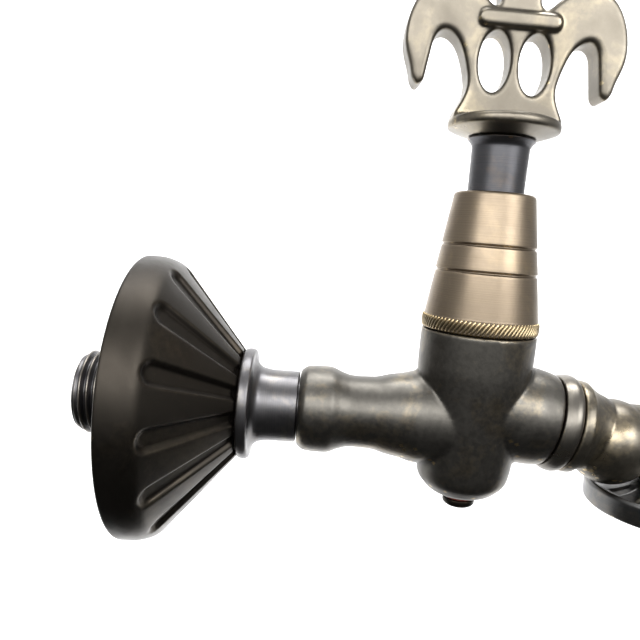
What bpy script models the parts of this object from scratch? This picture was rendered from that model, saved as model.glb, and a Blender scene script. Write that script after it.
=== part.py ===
"""Wall-mounted hose bib with a fluted wall flange, a tall turned shroud and a fleur-de-lis handle.

The frame's origin is where the inlet's axis meets the wall. +X runs out of the wall along
the inlet, +Z is up along the valve's spindle, and the outlet points down. Sizes are in
millimetres and become metres when a mesh is made. The valve is drawn closed.
"""
from math import atan2, cos, hypot, pi, radians, sin, tan

import bmesh
import bpy
from mathutils import Matrix, Vector

MM = 0.001
MERGE = 0.00002          # metres: merges seams and poles only
GAP = 0.3                # between pieces that touch or screw together
OVERCUT = 2.0            # how far a cutter runs past a face

# overall sizes
VALVE_X = 84.0           # wall to the valve's axis
SPOUT_REACH = 54.5       # valve axis to the outlet's axis
BODY_TOP = 23.4          # inlet axis to the body's top face
BODY_DEPTH = 19.8        # inlet axis to the body's underside
SHROUD_HEIGHT = 33.4

# inlet thread, G 1/2
INLET_THREAD_R = 10.478
INLET_PITCH = 1.814
INLET_THREAD_DEPTH = 1.162
INLET_THREAD_LENGTH = 14.4   # past the wall's face
INLET_THREAD_RUN_IN = 1.8    # behind the wall's face
INLET_BORE_R = 6.0
TAIL_R = 9.1
SHOULDER_R = 14.2
SHOULDER_WIDTH = 2.8
SHOULDER_FILLET = 2.4
TAIL_STUB = 11.4         # shoulder to the brazed seam
SPIGOT_R = 7.6
SPIGOT_LENGTH = 12.0

# wall flange
FLANGE_R = 35.5
FLANGE_DEPTH = 25.2
FLANGE_NOSE_R = 13.7
FLANGE_ROLL = 8.0        # width of the rounded rim
FLANGE_WALL = 2.0
FLANGE_LIP = 1.7         # flat ring that meets the wall
FLUTE_COUNT = 14
FLUTE_TURN = -2.0        # degrees, first flute from the -Y side
FLUTE_DEPTH = 0.9
FLUTE_HALF_WIDTH = 2.7
FLUTE_NARROW = 1.7       # half width at the nose
FLUTE_MARGIN = 1.5       # flute's round end to the rolled rim

# cast body
SOCKET_SWELL_R = 11.1
SOCKET_NECK_R = 9.15
SOCKET_WALL = 1.9
TOWER_R = 14.4
TOWER_LOW_R = 12.0
TOWER_FLOOR_R = 6.0
TOWER_WALL = 2.2         # round the headwork's flange
CHAMBER_FLOOR = 0.5
PARTITION = 4.0
LOWER_CHAMBER_R = 7.2
FLOOR_WALL = 3.0
PASSAGE_R = 4.2
BRANCH_R = 12.6
BRANCH_END_R = 11.8
BRANCH_SHARE = 0.6       # of the way to the ball, less the next size
BRANCH_LESS = 2.22
BRANCH_HEIGHT = 4.75     # branch axis above the inlet's, at the valve axis
DROOP = radians(9.0)     # how far the branch points down

# valve inside the body: two ceramic discs over a seal
SEAL_HEIGHT = 1.6
DISC_THICKNESS = 2.4
CAGE_WALL = 1.6          # round the discs, their clearance included
CAGE_HEIGHT = 4.7        # headwork's cage, above the discs
TONGUE = 1.2

# headwork and spindle
HEAD_STEP = 1.3          # flange's overhang past the thread
CHAMBER_STEP = 1.4       # thread's overhang past the chamber
HEAD_FLANGE = 4.5
HEAD_HEX = 4.5
HEAD_TUBE_SHARE = 0.548  # tube's top for each millimetre of shroud
GASKET_THICKNESS = 0.8
COUNTERBORE = 1.9
BAR_HEIGHT = 2.6         # the spindle's foot, across the turning disc
SQUARE_LENGTH = 8.0
PACKING_HEIGHT = 2.6
GLAND_HEIGHT = 5.0
GLAND_SKIRT = 3.0

# shroud
SHROUD_LEDGE = 3.01      # shroud's top, past the sleeve
SHROUD_WALL = 1.6
KNURL_HEIGHT = 3.4
SHROUD_THREAD = 3.6
GROOVE_HEIGHTS = (14.5, 20.8)    # above the shroud's foot
GROOVE_DEPTH = 0.4
GROOVE_HALF = 0.4

# handle
SLEEVE_SHOWS = 11.0      # between the shroud and the flare under the disc
SLEEVE_HIDDEN = 7.4      # inside the shroud
SLEEVE_FLARE = 1.6
DISC_R = 13.4
DISC_RIM = 2.6
DISC_DISH = 1.6
PLATE_HALF = 4.0         # half the thickness of the fleur-de-lis
PLATE_ROUND = 0.9
GRUB_R = 0.75
GRUB_LENGTH = 6.0
GRUB_SOCKET_R = 0.4

# outlet
LOCK_RING_R = 12.8
LOCK_RING_WIDTH = 4.6
BAND_R = 12.1
BAND_WIDTH = 3.2
SPOUT_TAIL_R = 8.0
SPOUT_TAIL_CLEAR = 2.4   # from its end to the chamber's radius
SPOUT_NECK_R = 9.4
SPOUT_NECK = 6.0
SPOUT_BORE_R = 4.8
BALL_R = 11.2
BALL_BACK = 16.8         # outlet's axis back to the ball's centre
BALL_SAG = 1.68          # ball's centre below the branch's axis
ELBOW_R = 7.6
ELBOW_BEND = 9.0
ELBOW_RISE = 2.7         # elbow's level run above the ball's centre
ELBOW_ABOVE = 2.8        # elbow's end above the ball's underside
OUTLET_SPIGOT_R = 6.3
OUTLET_SPIGOT = 7.2
SKIRT_R = 20.0
SKIRT_NECK_R = 8.2
SKIRT_BAND = 6.0
SKIRT_DISH = 3.9         # from the neck's top down to the groove
SKIRT_WALL = 1.7
SKIRT_FLUTES = 12
NIPPLE_HUB_R = 13.6
NIPPLE_HUB = 1.4
HOSE_THREAD_R = 13.22    # G 3/4
HOSE_PITCH = 1.814
HOSE_THREAD_DEPTH = 1.162
HOSE_THREAD = 4.5
NIPPLE_BORE_R = 5.5

# drain plug
PLUG_R = 4.2
PLUG_HEAD = 2.3
PLUG_SHANK_R = 3.0
PLUG_WASHER = 0.6

# sizes that follow from the others
HEAD_FLANGE_R = TOWER_R - TOWER_WALL
HEAD_THREAD_R = HEAD_FLANGE_R - HEAD_STEP
CHAMBER_R = HEAD_THREAD_R - CHAMBER_STEP
CAGE_R = CHAMBER_R - 0.4
DISC_CERAMIC_R = CAGE_R - CAGE_WALL
SEAL_R = DISC_CERAMIC_R - 0.1
PORT_R = SEAL_R - 1.2                    # hole up through the partition
PORT_HOLE_R = 0.28 * DISC_CERAMIC_R      # ports through the discs
PORT_OFFSET = 0.613 * DISC_CERAMIC_R
TONGUE_HALF = 0.24 * DISC_CERAMIC_R
BAR_HALF_WIDTH = 0.293 * DISC_CERAMIC_R
BAR_HALF_LENGTH = DISC_CERAMIC_R - 0.3
SPINDLE_STEM_R = 0.3125 * TOWER_R
TOE_R = 0.8 * SPINDLE_STEM_R
SQUARE_HALF = 0.578 * SPINDLE_STEM_R
SLEEVE_R = 1.511 * SPINDLE_STEM_R
SLEEVE_FLARE_R = SLEEVE_R + 1.4
HEAD_TUBE_R = 1.867 * SPINDLE_STEM_R
GLAND_R = HEAD_TUBE_R + 1.2
HEAD_HEX_R = HEAD_FLANGE_R - 2.3
SHROUD_TOP_R = SLEEVE_R + SHROUD_LEDGE
SHROUD_BASE_R = TOWER_R - 0.3
KNURL_R = TOWER_R + 0.2
SHROUD_TAPER = (SHROUD_BASE_R - SHROUD_TOP_R) / (SHROUD_HEIGHT - KNURL_HEIGHT)
JOURNAL_R = SPINDLE_STEM_R + 1.5
PACKING_R = SPINDLE_STEM_R + 2.1
BRANCH_LENGTH = BRANCH_SHARE * (SPOUT_REACH - BALL_BACK) - BRANCH_LESS
SPOUT_TAIL = BRANCH_LENGTH - CHAMBER_R - SPOUT_TAIL_CLEAR    # inside the body's branch

# positions that follow from the sizes
SHOULDER_X = FLANGE_DEPTH + GAP
SEAM_X = SHOULDER_X + SHOULDER_WIDTH + TAIL_STUB
SOCKET_X = SEAM_X + GAP
SOCKET_BORE_R = SPIGOT_R + GAP
SHROUD_FOOT = BODY_TOP + GAP
SHROUD_TOP = SHROUD_FOOT + SHROUD_HEIGHT
SEAL_FOOT = CHAMBER_FLOOR + GAP
FIXED_FOOT = SEAL_FOOT + SEAL_HEIGHT + GAP
TURNING_FOOT = FIXED_FOOT + DISC_THICKNESS + GAP
TURNING_TOP = TURNING_FOOT + DISC_THICKNESS
COUNTERBORE_Z = BODY_TOP - COUNTERBORE
HEAD_FOOT = TURNING_TOP + CAGE_HEIGHT
FLANGE_FOOT = COUNTERBORE_Z + GASKET_THICKNESS + 2 * GAP
FLANGE_TOP = FLANGE_FOOT + HEAD_FLANGE
SPINDLE_FOOT = TURNING_TOP + GAP
JOURNAL_FOOT = HEAD_FOOT + 3.0
HEAD_TUBE_TOP = SHROUD_FOOT + HEAD_TUBE_SHARE * SHROUD_HEIGHT
HEAD_SHOULDER = HEAD_TUBE_TOP - 2.0 - PACKING_HEIGHT - 2 * GAP - 1.0
JOURNAL_TOP = HEAD_SHOULDER - GAP
PACKING_FOOT = HEAD_TUBE_TOP - PACKING_HEIGHT - 1.0
SLEEVE_FOOT = SHROUD_TOP - SLEEVE_HIDDEN
SLEEVE_NECK_TOP = SHROUD_TOP + SLEEVE_SHOWS
SLEEVE_TOP = SLEEVE_NECK_TOP + SLEEVE_FLARE
DISC_FOOT = SLEEVE_TOP + GAP
DISC_RIM_FOOT = DISC_FOOT + DISC_DISH
DISC_TOP = DISC_RIM_FOOT + DISC_RIM
SQUARE_TOP = DISC_FOOT + DISC_DISH + DISC_RIM - 1.0
SQUARE_FOOT = SQUARE_TOP - SQUARE_LENGTH
SPOUT_X = VALVE_X + SPOUT_REACH
BALL_X = SPOUT_X - BALL_BACK
BALL_Z = BRANCH_HEIGHT - (SPOUT_REACH - BALL_BACK) * tan(DROOP) - BALL_SAG
ELBOW_TOP = BALL_Z + ELBOW_RISE
ELBOW_END = BALL_Z - BALL_R + ELBOW_ABOVE
RING_START = BRANCH_LENGTH + GAP
RING_END = RING_START + LOCK_RING_WIDTH
BAND_START = RING_END + GAP
BAND_END = BAND_START + BAND_WIDTH
SPIGOT_END = ELBOW_END - OUTLET_SPIGOT
SKIRT_TOP = ELBOW_END - GAP
SKIRT_GROOVE = SKIRT_TOP - SKIRT_DISH
SKIRT_UNDER = SKIRT_GROOVE - 0.6
NIPPLE_TOP = SKIRT_UNDER - GAP
NIPPLE_SOCKET = SPIGOT_END - 1.5
SKIRT_FOOT = SKIRT_GROOVE + 1.2 - SKIRT_BAND
NIPPLE_THREAD_TOP = NIPPLE_TOP - NIPPLE_HUB - 0.4
NIPPLE_FOOT = NIPPLE_THREAD_TOP - HOSE_THREAD - 0.5

COLOURS = {
    "bronze_dark": ((0.045, 0.038, 0.030), 0.42, 0.9),
    "bronze": ((0.16, 0.125, 0.085), 0.38, 0.95),
    "bronze_gold": ((0.30, 0.22, 0.12), 0.33, 0.95),
    "bronze_blue": ((0.12, 0.125, 0.14), 0.35, 0.95),
    "brass": ((0.60, 0.45, 0.20), 0.30, 1.0),
    "rubber": ((0.02, 0.02, 0.02), 0.75, 0.0),
    "fibre": ((0.30, 0.07, 0.04), 0.80, 0.0),
    "steel": ((0.32, 0.32, 0.33), 0.30, 1.0),
    "ceramic": ((0.80, 0.78, 0.74), 0.25, 0.0),
}


# ---- setting up -------------------------------------------------------------------------

def clear_scene():
    for item in list(bpy.data.objects):
        bpy.data.objects.remove(item, do_unlink=True)


def new_collection(name):
    collection = bpy.data.collections.new(name)
    bpy.context.scene.collection.children.link(collection)
    return collection


clear_scene()
PARTS = new_collection("hose_bib")
CUTTERS = new_collection("cutters")


def material(name, finish):
    colour, roughness, metallic = COLOURS[finish]
    made = bpy.data.materials.new(name)
    made.use_nodes = True
    shader = made.node_tree.nodes["Principled BSDF"]
    shader.inputs["Base Color"].default_value = (*colour, 1.0)
    shader.inputs["Roughness"].default_value = roughness
    shader.inputs["Metallic"].default_value = metallic
    return made


def frame_at(origin, direction):
    """A matrix that stands local +Z along direction, with its foot at origin."""
    turn = Vector((0, 0, 1)).rotation_difference(Vector(direction))
    return Matrix.Translation(Vector(origin) * MM) @ turn.to_matrix().to_4x4()


def new_object(name, mesh, finish=None, place=None):
    """A part when a finish is given, and otherwise a cutter."""
    made = bpy.data.objects.new(name, mesh)
    if place is not None:
        made.matrix_world = place
    if finish is None:
        CUTTERS.objects.link(made)
        made.hide_render = True
        made.display_type = "WIRE"
    else:
        PARTS.objects.link(made)
        mesh.materials.append(material(name, finish))
    return made


def boolean(target, tool, operation):
    step = target.modifiers.new(tool.name, "BOOLEAN")
    step.operation = operation
    step.object = tool
    step.solver = "EXACT"
    return target


def cut(target, tool):
    return boolean(target, tool, "DIFFERENCE")


def join(target, tool):
    return boolean(target, tool, "UNION")


def keep_common(target, tool):
    return boolean(target, tool, "INTERSECT")


# ---- ways to make a shape ---------------------------------------------------------------

def turned(name, outline, finish=None, origin=(0, 0, 0), direction=(0, 0, 1), steps=48,
           closed=False):
    """Turns (radius, height) points about the axis. Points run down the outer side."""
    mesh = bpy.data.meshes.new(name)
    edges = [(i, i + 1) for i in range(len(outline) - 1)]
    if closed:
        edges.append((len(outline) - 1, 0))
    mesh.from_pydata([(r * MM, 0.0, h * MM) for r, h in outline], edges, [])
    made = new_object(name, mesh, finish, frame_at(origin, direction))
    spin = made.modifiers.new("turn", "SCREW")
    spin.axis = "Z"
    spin.angle = 2 * pi
    spin.steps = steps
    spin.render_steps = steps
    spin.use_smooth_shade = True
    spin.use_merge_vertices = True
    spin.merge_threshold = MERGE
    return made


def solid_turned(name, outline, **where):
    """Closes the outline onto the axis at both ends."""
    top = (0.0, outline[0][1])
    foot = (0.0, outline[-1][1])
    return turned(name, [top, *outline, foot], **where)


def ring(name, outer, inner, **where):
    """outer runs down the outside and inner runs back up the inside."""
    return turned(name, [*outer, *inner], closed=True, **where)


def rod(name, radius, start, end, **where):
    return solid_turned(name, [(radius, end), (radius, start)], **where)


def arc(centre, radius, start, end, count):
    """Points on an arc, with angles in degrees."""
    points = []
    for i in range(count + 1):
        angle = radians(start + (end - start) * i / count)
        points.append((centre[0] + radius * cos(angle), centre[1] + radius * sin(angle)))
    return points


def prism(name, outline, low, high, finish=None, place=None):
    """A flat outline raised from low to high along local Z."""
    shape = bmesh.new()
    corners = [shape.verts.new((x * MM, y * MM, low * MM)) for x, y in outline]
    face = shape.faces.new(corners)
    raised = bmesh.ops.extrude_face_region(shape, geom=[face])
    moved = [item for item in raised["geom"] if isinstance(item, bmesh.types.BMVert)]
    bmesh.ops.translate(shape, verts=moved, vec=(0, 0, (high - low) * MM))
    bmesh.ops.recalc_face_normals(shape, faces=shape.faces)
    mesh = bpy.data.meshes.new(name)
    shape.to_mesh(mesh)
    shape.free()
    return new_object(name, mesh, finish, place)


def polygon(radius, sides, turn=0.0):
    return [(radius * cos(2 * pi * i / sides + turn), radius * sin(2 * pi * i / sides + turn))
            for i in range(sides)]


def tube_cutter(name, path, radius, sides_level=4):
    """A solid tube along a path of points in the X-Z plane; radius may be one per point."""
    curve = bpy.data.curves.new(name, "CURVE")
    curve.dimensions = "3D"
    curve.bevel_depth = MM
    curve.bevel_resolution = sides_level
    curve.use_fill_caps = True
    line = curve.splines.new("POLY")
    line.points.add(len(path) - 1)
    for index, (x, z) in enumerate(path):
        line.points[index].co = (x * MM, 0.0, z * MM, 1.0)
        line.points[index].radius = radius[index] if isinstance(radius, list) else radius
    return mesh_from_curve(name, curve)


def mesh_from_curve(name, curve):
    guide = bpy.data.objects.new(name + "_curve", curve)
    CUTTERS.objects.link(guide)
    bpy.context.view_layer.update()
    graph = bpy.context.evaluated_depsgraph_get()
    mesh = bpy.data.meshes.new_from_object(guide.evaluated_get(graph))
    mesh.name = name
    place = guide.matrix_world.copy()
    bpy.data.objects.remove(guide, do_unlink=True)
    shape = bmesh.new()
    shape.from_mesh(mesh)
    bmesh.ops.remove_doubles(shape, verts=shape.verts, dist=MERGE)
    bmesh.ops.recalc_face_normals(shape, faces=shape.faces)
    shape.to_mesh(mesh)
    shape.free()
    mesh.materials.clear()
    return new_object(name, mesh, None, place)


def threaded_rod(name, radius, depth, pitch, start, end, origin=(0, 0, 0), direction=(0, 0, 1),
                 steps=20, crest=0.25, root=0.25):
    """A right-hand threaded rod. It runs a pitch past start and end, to be trimmed there."""
    turns = int((end - start) / pitch) + 3
    half_flank = (1.0 - crest - root) / 2
    low = start - 1.5 * pitch
    points = []
    for turn in range(turns):
        base = low + turn * pitch
        points.append((radius - depth, base))
        points.append((radius - depth, base + root * pitch))
        points.append((radius, base + (root + half_flank) * pitch))
        points.append((radius, base + (root + half_flank + crest) * pitch))
    points.append((radius - depth, low + turns * pitch))
    outline = [(0.0, points[-1][1]), *reversed(points), (0.0, low)]
    shape = bmesh.new()
    rings = []
    for step in range(steps + 1):
        angle = 2 * pi * step / steps
        climb = pitch * step / steps
        spoke = []
        for r, h in outline:
            spot = (r * cos(angle) * MM, r * sin(angle) * MM, (h + climb) * MM)
            spoke.append(shape.verts.new(spot))
        rings.append(spoke)
    for step in range(steps):
        for i in range(len(outline) - 1):
            corners = [rings[step][i], rings[step + 1][i], rings[step + 1][i + 1], rings[step][i + 1]]
            shape.faces.new(corners)
    bmesh.ops.remove_doubles(shape, verts=shape.verts, dist=MERGE)
    bmesh.ops.dissolve_degenerate(shape, edges=shape.edges, dist=MERGE / 10)
    open_edges = [edge for edge in shape.edges if edge.is_boundary]
    bmesh.ops.holes_fill(shape, edges=open_edges, sides=0)
    bmesh.ops.recalc_face_normals(shape, faces=shape.faces)
    mesh = bpy.data.meshes.new(name)
    shape.to_mesh(mesh)
    shape.free()
    return new_object(name, mesh, None, frame_at(origin, direction))


def along_branch(distance, height=0.0):
    """A point in the X-Z plane, measured along the drooping branch and above it."""
    x = VALVE_X + distance * cos(DROOP) + height * sin(DROOP)
    z = BRANCH_HEIGHT - distance * sin(DROOP) + height * cos(DROOP)
    return (x, z)


# stands an outline drawn in X and Y up in the X-Z plane
UPRIGHT = Matrix(((1, 0, 0, 0), (0, 0, -1, 0), (0, 1, 0, 0), (0, 0, 0, 1)))
BRANCH_ORIGIN = (VALVE_X, 0.0, BRANCH_HEIGHT)
BRANCH_DIRECTION = (cos(DROOP), 0.0, -sin(DROOP))
ON_INLET = {"origin": (0, 0, 0), "direction": (1, 0, 0)}
ON_VALVE = {"origin": (VALVE_X, 0, 0), "direction": (0, 0, 1)}
ON_BRANCH = {"origin": BRANCH_ORIGIN, "direction": BRANCH_DIRECTION}
ON_OUTLET = {"origin": (SPOUT_X, 0, 0), "direction": (0, 0, 1)}


# ---- inlet ------------------------------------------------------------------------------

def cone_point(distance, height=0.0):
    """(x, radius) on the flange's cone, measured from its nose along the slope."""
    slope = atan2(FLANGE_R - 1.1 - FLANGE_NOSE_R, FLANGE_DEPTH - FLANGE_ROLL)
    x = FLANGE_DEPTH - distance * cos(slope) + height * sin(slope)
    r = FLANGE_NOSE_R + distance * sin(slope) + height * cos(slope)
    return x, r


def flute_cutters(name, count, first_turn, point_at, length, half_wide, half_narrow, depth,
                  axis_point):
    """One mesh of tapered slots with round outer ends, spread round an axis."""
    shape = bmesh.new()
    start = -OVERCUT
    end = length - half_wide
    steps = 5
    outline = [(start, -half_narrow), (end, -half_wide)]
    for i in range(1, steps):
        angle = -pi / 2 + pi * i / steps
        outline.append((end + half_wide * cos(angle), half_wide * sin(angle)))
    outline += [(end, half_wide), (start, half_narrow)]
    for flute in range(count):
        turn = radians(first_turn) + 2 * pi * flute / count
        layers = []
        for height in (-depth, OVERCUT):
            layer = []
            for along, across in outline:
                axial, r = point_at(along, height)
                spot = axis_point(axial, r, across, turn)
                layer.append(shape.verts.new(Vector(spot) * MM))
            layers.append(layer)
        floor, lid = layers
        shape.faces.new(floor)
        shape.faces.new(list(reversed(lid)))
        for i in range(len(outline)):
            after = (i + 1) % len(outline)
            shape.faces.new([floor[after], floor[i], lid[i], lid[after]])
    bmesh.ops.recalc_face_normals(shape, faces=shape.faces)
    mesh = bpy.data.meshes.new(name)
    shape.to_mesh(mesh)
    shape.free()
    return new_object(name, mesh)


def make_wall_flange():
    slope_r = cone_point(0.0)[1]
    rim_x, rim_r = cone_point(hypot(FLANGE_DEPTH - FLANGE_ROLL, FLANGE_R - 1.1 - FLANGE_NOSE_R))
    outer = [(slope_r - 0.4, FLANGE_DEPTH), (slope_r, FLANGE_DEPTH - 0.4), (rim_r, rim_x),
             (FLANGE_R - 0.25, rim_x - 2.2), (FLANGE_R, rim_x - 4.2), (FLANGE_R, 1.6),
             (FLANGE_R - 0.35, 0.5), (FLANGE_R - 0.9, 0.0)]
    lip_r = FLANGE_R - 0.9 - FLANGE_LIP
    hole_r = INLET_THREAD_R + GAP
    nose_in_x = FLANGE_DEPTH - FLANGE_WALL
    inner = [(lip_r, 0.0), (lip_r, rim_x - 4.2), (rim_r - 1.4 * FLANGE_WALL, rim_x - 1.2),
             (FLANGE_NOSE_R - 0.9, nose_in_x), (hole_r, nose_in_x), (hole_r, FLANGE_DEPTH)]
    flange = ring("wall_flange", outer, inner, finish="bronze_dark", steps=56, **ON_INLET)

    def place(axial, r, across, turn):
        out = (-cos(turn), sin(turn))
        side = (sin(turn), cos(turn))
        return (axial, r * out[0] + across * side[0], r * out[1] + across * side[1])

    slope_length = hypot(FLANGE_DEPTH - FLANGE_ROLL, FLANGE_R - 1.1 - FLANGE_NOSE_R)
    flutes = flute_cutters("flute_cutters", FLUTE_COUNT, FLUTE_TURN, cone_point,
                           slope_length - FLUTE_MARGIN, FLUTE_HALF_WIDTH, FLUTE_NARROW,
                           FLUTE_DEPTH, place)
    cut(flange, flutes)
    return flange


def make_inlet_tailpiece():
    thread_end = -INLET_THREAD_LENGTH
    shoulder_end = SHOULDER_X + SHOULDER_WIDTH
    thread = threaded_rod("inlet_thread", INLET_THREAD_R, INLET_THREAD_DEPTH, INLET_PITCH,
                          thread_end, INLET_THREAD_RUN_IN, **ON_INLET)
    root_r = INLET_THREAD_R - INLET_THREAD_DEPTH
    chamfer = INLET_THREAD_DEPTH
    blank = solid_turned("inlet_thread_blank", [
        (root_r - 0.4, INLET_THREAD_RUN_IN + 0.6), (INLET_THREAD_R + 0.2, INLET_THREAD_RUN_IN - 0.8),
        (INLET_THREAD_R + 0.2, thread_end + chamfer), (root_r - 0.2, thread_end)], steps=36, **ON_INLET)
    keep_common(thread, blank)
    fillet = arc((TAIL_R + SHOULDER_FILLET, shoulder_end + SHOULDER_FILLET), SHOULDER_FILLET,
                 -180, -90, 4)
    fillet = [point for point in fillet if point[0] < SHOULDER_R - 0.8]
    outline = [(SPIGOT_R - 0.5, SEAM_X + SPIGOT_LENGTH), (SPIGOT_R, SEAM_X + SPIGOT_LENGTH - 0.5),
               (SPIGOT_R, SEAM_X), (TAIL_R - 0.1, SEAM_X), (TAIL_R, SEAM_X - 0.2), *fillet,
               (SHOULDER_R - 0.6, shoulder_end), (SHOULDER_R, shoulder_end - 0.6),
               (SHOULDER_R, SHOULDER_X + 0.5), (SHOULDER_R - 0.5, SHOULDER_X),
               (TAIL_R, SHOULDER_X), (TAIL_R, 4.0), (root_r - 0.6, INLET_THREAD_RUN_IN - 1.0)]
    tail = solid_turned("inlet_tailpiece", outline, finish="bronze", steps=36, **ON_INLET)
    join(tail, thread)
    bore = rod("inlet_tail_bore", INLET_BORE_R, thread_end - OVERCUT,
               SEAM_X + SPIGOT_LENGTH + OVERCUT, steps=28, **ON_INLET)
    cut(tail, bore)
    return tail


# ---- body -------------------------------------------------------------------------------

def make_valve_body():
    swell = SOCKET_SWELL_R
    neck = SOCKET_NECK_R
    run = VALVE_X - TOWER_R - SOCKET_X
    socket = solid_turned("body_inlet_socket", [
        (swell + 1.0, VALVE_X - 2.0), (swell + 0.9, SOCKET_X + run), (swell - 0.3, SOCKET_X + 0.90 * run),
        (swell - 1.2, SOCKET_X + 0.76 * run), (neck, SOCKET_X + 0.62 * run), (neck, SOCKET_X + 0.53 * run),
        (swell - 1.1, SOCKET_X + 0.37 * run), (swell - 0.2, SOCKET_X + 0.27 * run),
        (swell, SOCKET_X + 0.18 * run), (swell - 0.25, SOCKET_X + 0.09 * run),
        (SPIGOT_R + SOCKET_WALL + 0.7, SOCKET_X + 0.9), (SPIGOT_R + SOCKET_WALL, SOCKET_X)],
        steps=28, **ON_INLET)
    bowl_r = TOWER_LOW_R - TOWER_FLOOR_R
    bowl = arc((TOWER_FLOOR_R, -BODY_DEPTH + bowl_r), bowl_r, 0, -90, 6)
    tower = solid_turned("valve_body", [
        (TOWER_R - 0.5, BODY_TOP), (TOWER_R, BODY_TOP - 0.5), (TOWER_R, BODY_TOP - 10.0), *bowl],
        finish="bronze", **ON_VALVE)
    branch = solid_turned("body_branch", [
        (BRANCH_END_R - 0.5, BRANCH_LENGTH), (BRANCH_END_R, BRANCH_LENGTH - 0.5),
        (BRANCH_R - 0.3, 0.82 * BRANCH_LENGTH), (BRANCH_R, 0.7 * BRANCH_LENGTH),
        (BRANCH_R - 0.5, 0.0)], steps=28, **ON_BRANCH)
    join(tower, socket)
    join(tower, branch)

    thread_bore = HEAD_THREAD_R + GAP
    counterbore = HEAD_FLANGE_R + GAP
    cut(tower, solid_turned("body_top_bore", [
        (counterbore, BODY_TOP + OVERCUT), (counterbore, COUNTERBORE_Z), (thread_bore, COUNTERBORE_Z),
        (thread_bore, HEAD_FOOT - 0.5), (CHAMBER_R, HEAD_FOOT - 0.5), (CHAMBER_R, CHAMBER_FLOOR)],
        steps=28, **ON_VALVE))
    ceiling = CHAMBER_FLOOR - PARTITION
    floor = -BODY_DEPTH + FLOOR_WALL
    cut(tower, solid_turned("body_lower_chamber", [
        (PORT_R, CHAMBER_FLOOR + OVERCUT), (PORT_R, ceiling), (LOWER_CHAMBER_R, ceiling),
        (LOWER_CHAMBER_R, floor), (PLUG_SHANK_R + GAP, floor),
        (PLUG_SHANK_R + GAP, -BODY_DEPTH - OVERCUT)], steps=24, **ON_VALVE))

    way_in = VALVE_X - CHAMBER_R - 2.6
    socket_floor = SEAM_X + SPIGOT_LENGTH + GAP
    cut(tower, solid_turned("body_inlet_bore", [
        (INLET_BORE_R - 2.0, way_in), (INLET_BORE_R, way_in - 2.0), (INLET_BORE_R, socket_floor),
        (SOCKET_BORE_R, socket_floor), (SOCKET_BORE_R, SOCKET_X - OVERCUT)], steps=24, **ON_INLET))
    drop_start = Vector((way_in - 4.0, 0, -1.5))
    drop_end = Vector((VALVE_X - 3.0, 0, ceiling - PASSAGE_R - 2.0))
    drop = drop_end - drop_start
    cut(tower, rod("body_passage", PASSAGE_R, 0.0, drop.length, origin=drop_start, direction=drop,
                   steps=16))

    cut(tower, solid_turned("body_branch_bore", [
        (SPOUT_TAIL_R + GAP, BRANCH_LENGTH + OVERCUT),
        (SPOUT_TAIL_R + GAP, BRANCH_LENGTH - SPOUT_TAIL - GAP),
        (SPOUT_BORE_R + 0.7, BRANCH_LENGTH - SPOUT_TAIL - GAP),
        (SPOUT_BORE_R + 0.7, 0.75 * CHAMBER_R)], steps=24, **ON_BRANCH))
    return tower


def make_seal():
    top = SEAL_FOOT + SEAL_HEIGHT
    ring("disc_seal", [(SEAL_R, top), (SEAL_R, SEAL_FOOT)], [(PORT_R, SEAL_FOOT), (PORT_R, top)],
         finish="rubber", steps=28, **ON_VALVE)


def make_drain_plug():
    top = -BODY_DEPTH - PLUG_WASHER - 2 * GAP
    shank_top = -BODY_DEPTH + FLOOR_WALL - 0.3
    solid_turned("drain_plug", [
        (PLUG_SHANK_R - 0.4, shank_top), (PLUG_SHANK_R, shank_top - 0.4), (PLUG_SHANK_R, top),
        (PLUG_R - 0.2, top), (PLUG_R, top - 0.2), (PLUG_R, top - 0.7 * PLUG_HEAD),
        (0.6 * PLUG_R, top - PLUG_HEAD)], finish="bronze_dark", steps=28, **ON_VALVE)
    washer_top = -BODY_DEPTH - GAP
    ring("drain_plug_washer", [(PLUG_R, washer_top), (PLUG_R, washer_top - PLUG_WASHER)],
         [(PLUG_SHANK_R + GAP, washer_top - PLUG_WASHER), (PLUG_SHANK_R + GAP, washer_top)],
         finish="fibre", steps=28, **ON_VALVE)


# ---- ceramic discs, headwork and spindle ------------------------------------------------

def make_disc(name, foot, first_turn):
    """A ceramic disc with two round ports through it."""
    disc = rod(name, DISC_CERAMIC_R, foot, foot + DISC_THICKNESS, finish="ceramic", steps=28, **ON_VALVE)
    for side in (0, 1):
        turn = radians(first_turn) + pi * side
        spot = (VALVE_X + PORT_OFFSET * cos(turn), PORT_OFFSET * sin(turn), 0)
        cut(disc, rod(f"{name}_port_{side}", PORT_HOLE_R, foot - OVERCUT, foot + DISC_THICKNESS + OVERCUT,
                      steps=16, origin=spot, direction=(0, 0, 1)))
    return disc


def make_discs():
    make_disc("fixed_disc", FIXED_FOOT, 0.0)
    turning = make_disc("turning_disc", TURNING_FOOT, 90.0)
    pocket = polygon((TONGUE_HALF + GAP) * 2 ** 0.5, 4, pi / 4)
    cut(turning, prism("turning_disc_pocket", pocket, TURNING_TOP - TONGUE - GAP, TURNING_TOP + OVERCUT,
                       place=frame_at((VALVE_X, 0, 0), (0, 0, 1))))


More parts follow.
